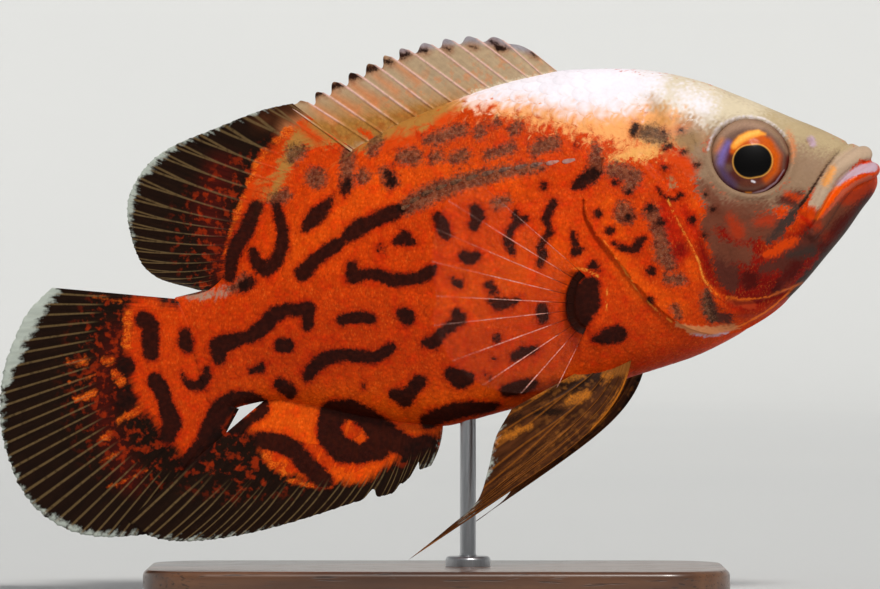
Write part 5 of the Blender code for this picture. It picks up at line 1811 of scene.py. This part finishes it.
@dataclass
class PelvicFin(Fin):
    """A pelvic fin: bowed rays from a short root under the chest, the first drawn out to a point."""

    side: Side = Side.RIGHT
    tip: Run = ()
    body: Body = Body()
    root_front: tuple[float, float] = (57.4, 5.6)
    root_rear: tuple[float, float] = (63.8, 3.4)
    level: float = 0.80
    bow: float = 5.6
    bow_forward: float = 0.4
    bow_at: float = 0.28
    splay: float = 8.0
    thick: float = 1.8

    def middle(self, at: Array, r: Array) -> Array:
        """Root to tip, splaying out with r to the 0.7, with a bow that is largest at the first ray.

        The bow rises fast to its height at its own share of the way out, and dies away slowly.
        """
        s0 = self.root_front[0] + (self.root_rear[0] - self.root_front[0]) * at
        y0 = self.root_front[1] + (self.root_rear[1] - self.root_front[1]) * at
        h0 = self.body.widest(s0) - (self.body.widest(s0) - self.body.belly(s0)) * self.level
        tip = outline(self.tip)(at[..., 0] if at.ndim == 2 else at)
        tip = tip[:, None] if at.ndim == 2 else tip
        rise = r / self.bow_at
        hump = self.bow * (1 - at) ** 1.2 * rise * np.exp(1 - rise) * (1 - r**6)
        s = s0 + (tip[..., 0] - s0) * r - self.bow_forward * hump
        h = h0 + (tip[..., 1] - h0) * r - hump
        return np.stack(np.broadcast_arrays(s, self.side.value * (y0 + self.splay * r**0.7), h), axis=-1)

    def root(self, at: Array, r: Array) -> Array:
        """The fleshy root's half thickness, faded with the cube of the way out."""
        return (self.thick - self.membrane) / 2 * (1 - r) ** 3 + 0 * at


@dataclass
class PectoralFin(Fin):
    """A pectoral fin: a clear fan on a short fleshy stalk behind the gill cover."""

    side: Side = Side.RIGHT
    body: Body = Body()
    root_line: Run = traced(((584, 276), (578, 282), (575, 289), (573, 296), (573, 303), (573, 310), (574, 316),
                             (577, 321), (580, 325), (585, 328)))
    tip: Run = traced(((474, 180), (448, 202), (436, 230), (432, 262), (436, 296), (434, 325), (452, 360),
                       (482, 384), (520, 392), (556, 386)))
    sunk: float = 0.8
    stalk: float = 0.25
    stalk_share: float = 0.07
    splay: float = 7.0
    thick: float = 0.6

    def shares(self) -> Array:
        """Columns crowded round each ray, so that a thin ray keeps its shape."""
        offsets = np.array([0.0, 0.025, 0.055, 0.1, 0.18, 0.3, 0.42])
        offsets = np.concatenate([offsets, [0.5], 1 - offsets[:0:-1]])
        return np.append(np.add.outer(np.arange(self.rays - 1), offsets).reshape(-1), self.rays - 1)[:, None] / (
            self.rays - 1)

    def middle(self, at: Array, r: Array) -> Array:
        """Out of the flank along the stalk, then a flat fan to the tip curve that splays with r."""
        root = stations(self.root_line)(at[:, 0])[:, None]
        tip = stations(self.tip)(at[:, 0])[:, None]
        spread = np.maximum(r - self.stalk_share, 0) / (1 - self.stalk_share)
        seen = root + (tip - root) * spread[..., None]
        start = self.body.flank(root[..., 0], root[..., 1]) - self.sunk
        y = start + (self.stalk + self.sunk) * (1 - np.exp(-r / self.stalk_share)) + self.splay * r
        return np.stack([seen[..., 0], self.side.value * y, seen[..., 1]], axis=-1)

    def root(self, at: Array, r: Array) -> Array:
        """The stalk's half thickness, faded with the fourth power of the way out."""
        return (self.thick - self.membrane) / 2 * (1 - r) ** 4 + 0 * at


@dataclass
class FinScales:
    """Small scales over a median fin's fleshy base, on both its sides, pointing out along its rays."""

    fin: MedianFin
    plate: Plate
    pitch: float = 2.1
    seed: int = 3
    painter: Painter = BASE_PAINT
    border: float = 18.0
    settle: float = 12.0

    def roots(self) -> Array:
        """Each plate's (at, r, one row's share of the base, the way out that it takes), for one side."""
        ends = self.fin.middle(np.linspace(0, 1, 60)[:, None], np.array([[0.0, 1.0]]))
        base = float(np.sum(np.linalg.norm(np.diff(ends[:, 0], axis=0), axis=-1)))
        out = float(np.mean(np.linalg.norm(ends[:, 1] - ends[:, 0], axis=-1)))
        count, step = round(base / self.pitch), self.pitch / out
        columns, rows = np.arange(count)[:, None], np.arange(int(1 / step))[None, :]
        place = (columns + 0.5 * (rows % 2) + 0.25) / count
        away = 0.02 + rows * step + 0 * place
        return np.stack([place, away, 0 * place + 1 / count, 0 * place + step], axis=-1).reshape(-1, 4)

    def build(self, finish: FleshFinish) -> None:
        """Makes the scales of both sides as one mesh, where the fin is fleshy."""
        rng = np.random.default_rng(self.seed)
        plate, roots = self.plate, self.roots()
        roots = roots[roots[:, 0] < 1]
        seen = self.painter.pixels(self.fin.middle(roots[:, :1], roots[:, 1:2])[:, 0])
        inside = -nearest(seen, FLESHY_RUNS) - self.border
        roots, inside = roots[inside > 0], inside[inside > 0]
        root_at, root_r, wide, deep = (roots[:, i, None, None] for i in range(4))
        size = 1 + 0.15 * (rng.random(len(root_at)) - 0.5)[:, None, None]
        fade = ease(inside / self.settle)[:, None, None]
        at = np.clip(root_at + wide * 0.5 * plate.width * size * plate.a, 0, 1)
        r = np.clip(root_r + deep * size * plate.reach(), 0, 1)
        middle = self.fin.middle(at, r)
        out = (self.fin.half(at, r) + plate.lift(fade))[..., None] * np.array([0, 1, 0])
        local = np.concatenate([middle + out, (middle - out)[:, :, ::-1]])
        unwrap = (np.concatenate([root_at, root_at]), np.concatenate([root_r, root_r + 1]) / 2)
        surface = plate.mesh(local, self.painter, np.concatenate([fade, fade]), unwrap, rng)
        corners = surface.points[surface.faces[0]]
        normal = np.cross(corners[:, 1] - corners[:, 0], corners[:, 2] - corners[:, 0])
        left = np.arange(len(normal)) < len(normal) / 2
        if np.median(np.sign(normal[left, 1])) < 0:
            surface.faces = [surface.faces[0][:, ::-1]]
        surface.build(f"{self.fin.name}_scales", finish.material(), "skin", sharp=PLATE_SHARP)


@dataclass
class Eye:
    """An eye: a flattened ball, tinted as the camera sees it."""

    side: Side
    body: Body = Body()
    socket: EyeSocket = EyeSocket()
    painter: Painter = EYE_PAINT
    rings: int = 110
    sides: int = 220
    crowding: float = 1.5

    def build(self, finish: EyeFinish) -> None:
        """Makes the eye, which replaces its node."""
        centre, across, up, out = self.socket.axes(self.body, self.side)
        tilt = math.pi * (np.arange(1, self.rings + 1) / (self.rings + 1))[:, None] ** self.crowding
        turn = np.linspace(0, 2 * math.pi, self.sides, endpoint=False)[None, :]
        radius = self.socket.radius * np.sin(tilt)
        height = self.socket.dome * np.cos(tilt)
        flat = np.stack([radius * np.cos(turn), radius * np.sin(turn)], axis=-1)
        local = centre + flat[..., :1] * across + flat[..., 1:] * up + (height + 0 * turn)[..., None] * out
        surface = Surface.sheet(local, around=True)
        index = np.arange(local.shape[0] * local.shape[1]).reshape(local.shape[:2])
        surface.cap(index[0], centre + out * self.socket.dome)
        surface.cap(index[-1][::-1], centre - out * self.socket.dome)
        surface.paint = {"ground": self.painter.paint(surface.points)["ground"]}
        surface.points = swum(surface.points)
        surface.outward()
        name = f"eye_{self.side.name.lower()}"
        surface.build(f"{name}_ball", finish.material(), "eye", [name])


@dataclass
class Stand:
    """The display stand: a walnut base with a steel rod up to the belly."""

    body: Body = Body()
    length: float = 116.0
    depth: float = 62.0
    height: float = 6.0
    corner: float = 14.0
    bevel: float = 1.2
    foot_bevel: float = 0.4
    rod_s: float = 93.0
    rod_radius: float = 1.6
    rod_overlap: float = 0.5
    foot_radius: float = 4.5
    foot_height: float = 2.0
    foot_round: float = 0.8
    sharp: float = math.radians(50)

    def base_ring(self, inset: float, level: float) -> Array:
        """One outline of the base: a quarter arc at each corner of a rectangle, drawn in by the inset."""
        turn = np.linspace(0, 2 * math.pi, 4 * 24, endpoint=False) + 1e-9
        radius = self.corner - inset
        x = np.sign(np.cos(turn)) * (self.length / 2 - self.corner) + radius * np.cos(turn)
        y = np.sign(np.sin(turn)) * (self.depth / 2 - self.corner) + radius * np.sin(turn)
        return np.stack([x, y, np.full_like(x, level)], axis=-1)

    def build_base(self, finish: WalnutFinish) -> None:
        """Makes the base: outlines drawn in round its top and bottom edges, and flat caps."""
        bend = np.linspace(0, math.pi / 2, 9)
        insets = [self.foot_bevel, 0.0, *(self.bevel * (1 - np.cos(bend))), self.corner * 0.9]
        levels = [0.0, self.foot_bevel, *(self.height - self.bevel * (1 - np.sin(bend))), self.height]
        rings = np.stack([self.base_ring(inset, level) for inset, level in zip(insets, levels)])
        surface = Surface.sheet(rings, around=True)
        index = np.arange(rings.shape[0] * rings.shape[1]).reshape(rings.shape[:2])
        surface.cap(index[0], np.array([0, 0, 0.0]))
        surface.cap(index[-1][::-1], np.array([0, 0, self.height]))
        surface.outward()
        surface.build("stand_base_walnut", finish.material(), "stand_wood", ["stand_base"], self.sharp)

    def build_rod(self, finish: SteelFinish) -> None:
        """Makes the rod: a profile of (radius, height) turned about its upright axis."""
        low = float(self.body.belly(self.rod_s))
        foot = POSE.place(np.array(self.rod_s), POSE.swing(np.array(self.rod_s)), np.array(low))
        bend = np.linspace(0, math.pi / 2, 7)
        shoulder = self.height + self.foot_height
        radii = [self.foot_radius, *(self.foot_radius - self.foot_round * (1 - np.cos(bend))),
                 self.rod_radius + 0.5, self.rod_radius + 0.12, self.rod_radius, self.rod_radius]
        levels = [self.height, *(shoulder - self.foot_round * (1 - np.sin(bend))),
                  shoulder, shoulder + 0.15, shoulder + 0.6, foot[2] + self.rod_overlap]
        turn = np.linspace(0, 2 * math.pi, 56, endpoint=False)[None, :]
        radius, level = np.array(radii)[:, None], np.array(levels)[:, None]
        rings = np.stack(np.broadcast_arrays(foot[0] + radius * np.cos(turn), foot[1] + radius * np.sin(turn), level),
                         axis=-1)
        surface = Surface.sheet(rings, around=True)
        index = np.arange(rings.shape[0] * rings.shape[1]).reshape(rings.shape[:2])
        for ring, end in ((index[0], levels[0]), (index[-1][::-1], levels[-1])):
            surface.cap(ring, np.array([foot[0], foot[1], end]))
        surface.outward()
        surface.build("stand_rod_steel", finish.material(), "stand_steel", ["stand_rod"], self.sharp)


@dataclass
class Studio:
    """A pale floor that sweeps up all round, soft light and the photograph's camera."""

    flat: float = 2600.0
    sweep: float = 1200.0
    wall: float = 900.0
    world: float = 0.32
    lights: tuple[tuple[str, float, tuple[float, float, float], float], ...] = (
        ("key", 2.55, (0.2, -0.62, 0.76), math.radians(14)),
        ("fill", 1.4, (0.0, -0.94, -0.34), math.radians(50)),
    )

    def build_floor(self, finish: FloorFinish) -> None:
        """Makes the floor: a profile of a flat, a quarter arc and a wall, turned about the z axis."""
        bend = np.linspace(0, math.pi / 2, 24)
        radii = np.concatenate([[600.0, self.flat], self.flat + self.sweep * np.sin(bend[1:]),
                                [self.flat + self.sweep]])
        levels = np.concatenate([[0.0, 0.0], self.sweep * (1 - np.cos(bend[1:])), [self.sweep + self.wall]])
        turn = np.linspace(0, 2 * math.pi, 128, endpoint=False)[None, :]
        radius, level = radii[:, None], levels[:, None]
        rings = np.stack(np.broadcast_arrays(radius * np.cos(turn), radius * np.sin(turn), level), axis=-1)
        surface = Surface.sheet(rings, around=True)
        surface.cap(np.arange(turn.size), np.zeros(3))
        mesh = bpy.data.meshes.new("floor")
        faces = [face for part in surface.faces for face in part.tolist()]
        mesh.from_pydata((surface.points * MM).tolist(), [], faces)
        mesh.shade_smooth()
        mesh.materials.append(finish.material())
        floor = bpy.data.objects.new("floor", mesh)
        bpy.context.scene.collection.objects.link(floor)

    def build_lights(self) -> None:
        """Makes the sun-like lights by (name, strength, where from, softness), and the pale world."""
        for name, strength, where, softness in self.lights:
            light = bpy.data.lights.new(name, "SUN")
            light.energy, light.angle, light.color = strength, softness, (1.0, 0.97, 0.93)
            made = bpy.data.objects.new(name, light)
            made.rotation_euler = Vector(where).to_track_quat("Z", "Y").to_euler()
            bpy.context.scene.collection.objects.link(made)
        world = bpy.data.worlds.new("studio")
        world.use_nodes = True
        world.node_tree.nodes["Background"].inputs["Color"].default_value = (0.95, 0.97, 1.0, 1.0)
        world.node_tree.nodes["Background"].inputs["Strength"].default_value = self.world
        bpy.context.scene.world = world

    def build_camera(self) -> None:
        """Makes the camera: level, along +y, with the lens that gives the photograph's pixel size."""
        camera = bpy.data.cameras.new("camera")
        camera.sensor_width, camera.lens, camera.clip_end = PHOTO.sensor, PHOTO.lens, 100.0
        made = bpy.data.objects.new("camera", camera)
        x, z = PHOTO.aim
        made.location = Vector((x, -PHOTO.distance, z)) * MM
        made.rotation_euler = (math.pi / 2, 0.0, 0.0)
        bpy.context.scene.collection.objects.link(made)
        bpy.context.scene.camera = made
        bpy.context.scene.view_settings.view_transform = "Standard"


@dataclass
class Oscar:
    """The whole fish, from its parts' own sizes."""

    skin: Skin = field(default_factory=Skin)

    def coats(self) -> list[ScaleCoat]:
        """The scales of the trunk and nape, and the smaller ones of the cheeks and gill covers."""
        cheek = smooth([(20, 1.7), (60, 2.2)])
        trunk = smooth([(36, 2.5), (55, 2.9), (75, 3.4), (105, 3.1), (125, 2.5), (141, 2.2)])
        return [
            ScaleCoat("trunk_scales", self.skin, 36.0, 140.0, trunk, Plate(0.035)),
            ScaleCoat("cheek_scales", self.skin, 22.0, 57.0, cheek, Plate(0.015, 0.06), on_head=True, settle=6.0,
                      seed=8),
            SideLine("side_line", self.skin, 0.0, 0.0, trunk, Plate(0.22, length=0.8, rounding=0.2, arch=0.6),
                     painter=LINE_PAINT),
        ]

    def median_fins(self) -> list[tuple[MedianFin, FinFinish]]:
        """The dorsal fin's two parts, the anal fin and the tail fin, each with its finish."""
        spines = MedianFin(
            "dorsal_spines", "dorsal_fin_spines", 13, SPINE_PAINT, kind=RayKind.SPINE,
            base=((557, 71), (541, 74), (527, 77), (507, 82), (488, 87.5), (469, 94), (450, 101), (432, 108),
                  (414, 115.5), (397, 124), (381, 132), (366, 140), (349, 150)),
            tip=((531, 50), (501, 38), (474, 36), (450, 38), (429, 42), (405, 47), (388, 54), (372, 62),
                 (354, 71), (337, 80), (320, 90), (304, 99.5), (287, 105)),
            ridge=0.3, ray_width=0.07, fray=0.0, tapers=(True, False), bare=0.05, steps=30, reach=self.lappets,
        )
        soft = MedianFin(
            "dorsal_soft", "dorsal_fin_rays", 20, FIN_PAINT, kind=RayKind.FORKED,
            base=((352, 148), (338, 157), (319, 170), (301, 184), (282, 201), (266, 218), (257, 228), (249, 237),
                  (240, 249), (232, 260), (225, 270), (219, 278), (212, 286)),
            tip=((292, 103), (258, 111), (215, 128), (180, 142), (155, 157), (137, 178), (127, 203), (128, 225),
                 (133, 245), (141, 263), (156, 277), (175, 284), (192, 288)),
            tapers=(False, True), lean=lambda at, r: -1.6 * r**2 * at, bow=lambda at: 0.8 * ease(at * 5), bare=0.4,
        )
        anal = MedianFin(
            "anal", "anal_fin", 16, FIN_PAINT,
            base=((441, 427), (432, 427), (422, 426), (410, 424), (396, 423), (380, 421), (364, 418), (346, 415),
                  (330, 411), (314, 407), (300, 405), (288, 403), (276, 402), (264, 401)),
            tip=((431, 466), (418, 471), (405, 482), (391, 494), (375, 498), (350, 504), (320, 514), (287, 524),
                 (256, 532), (225, 538), (198, 541), (173, 541), (150, 536), (128, 521)),
            lean=lambda at, r: -4.4 * r**1.5 * at, bare=0.5, reach=self.lobes,
            bow=smooth([(0, 0.7), (0.15, 0.6), (0.3, 1.2), (0.5, 2.4), (0.8, 2.4), (1, -0.3)]),
        )
        tail = TailFin(
            "tail", "caudal_fin", 15, FIN_PAINT, kind=RayKind.PAIRED,
            base=((178, 299), (182, 308), (186, 317), (190, 327), (194, 336), (198, 345), (202, 355), (206, 364),
                  (210, 373), (214, 382), (218, 391), (223, 399), (230, 405), (239, 409)),
            tip=((51, 287.5), (27.5, 311.5), (13, 340), (3, 368), (-1, 396), (-1, 424), (4, 450), (13, 476),
                 (28, 502), (52, 523), (80, 535), (108, 538), (138, 536), (172, 532)),
            sink=0.0, lean=lambda at, r: 1.2 * r * np.sin(math.pi * at), rows=64, bare=0.45,
        )
        # The spines' rose lines are their pale colour with a painted highlight along each spine from the light above.
        hard = FinFinish("spiny_fin", kind=RayKind.SPINE, ray=Tint.ROSE, flesh=Tint.OLIVE_TAN, ray_share=0.8,
                         ray_width=0.11, fade=(0.0, 0.25), streak=0.4, fleck=0.35, glow=(Tint.SALMON, Tint.ORANGE))
        dorsal = FinFinish("dorsal_fin", kind=RayKind.FORKED, ray_width=0.1, fade=(0.2, 0.5), ray_share=0.55)
        under = FinFinish("anal_fin", flesh=Tint.BRIGHT_ORANGE, fade=(0.5, 0.75))
        paddle = FinFinish("tail_fin", kind=RayKind.PAIRED, fade=(0.5, 0.62))
        return [(spines, hard), (soft, dorsal), (anal, under), (tail, paddle)]

    @staticmethod
    def lappets(at: Array) -> Array:
        """The spiny fin's margin: behind each spine a rounded tongue, then a dip before the next."""
        after = np.mod(at * 12 + 1e-6, 1)
        step = 0.13 * ease((after - 0.2) / 0.75) + 0.05 * (1 - ease(after / 0.2))
        return 1.0 - step * ease((1 - at) * 12)

    @staticmethod
    def lobes(at: Array) -> Array:
        """The anal fin's margin: three narrow notches between its front rays."""
        notches = ((0.095, 0.2), (0.19, 0.06), (0.325, 0.12))
        return 1.0 - sum(depth * np.exp(-(((at - place) / 0.016) ** 2)) for place, depth in notches)

    def build(self) -> None:
        """Makes every part of the fish."""
        self.skin.build(FleshFinish())
        for coat in self.coats():
            coat.build(FleshFinish(f"{coat.name}_finish", scaled=True))
        fins = self.median_fins()
        for fin, finish in fins:
            fin.build(finish.material())
        for fin, finish in fins[1:]:
            FinScales(fin, Plate(0.025)).build(FleshFinish(f"{fin.name}_scales_finish", scaled=True))
        pelvic = FinFinish("pelvic_fin", ray=Tint.AMBER, ray_share=0.3, streak=2.8, fade=(0.0, 0.3),
                           glow=(Tint.BRONZE, Tint.AMBER), ragged=8.0).material()
        clear = ClearFinFinish().material()
        tips = {
            Side.RIGHT: ((112.9, -45.8), (103.5, -42.2), (96.2, -38.9), (92.0, -33.4), (88.8, -28.1), (84.0, -23.6)),
            Side.LEFT: ((102.6, -44.8), (95.0, -42.6), (89.5, -40.0), (86.0, -35.0), (83.0, -30.0), (79.5, -25.4)),
        }
        for side in Side:
            word = side.name.lower()
            forward = 0.0 if side is Side.RIGHT else -3.4
            PelvicFin(f"pelvic_{word}", f"pelvic_fin_{word}", 6, PELVIC_PAINT, steps=36, side=side,
                      tip=tips[side], root_front=(57.4 + forward, 5.2)).build(pelvic)
            PectoralFin(f"pectoral_{word}", f"pectoral_fin_{word}", 10, PECTORAL_PAINT, slot="clear_fin",
                        kind=RayKind.SPINE, side=side, ray_width=0.035, membrane=0.2, ridge=0.14).build(clear)
            Eye(side).build(EyeFinish())


def main() -> None:
    """Builds the fish, its stand and the studio."""
    logging.basicConfig(level=logging.INFO, format="%(name)s: %(message)s")
    studio = Studio()
    studio.build_camera()
    studio.build_floor(FloorFinish())
    studio.build_lights()
    log.info("studio built")
    Oscar().build()
    log.info("fish built")
    stand = Stand()
    stand.build_base(WalnutFinish())
    stand.build_rod(SteelFinish())
    log.info("stand built")


if __name__ == "__main__":
    main()
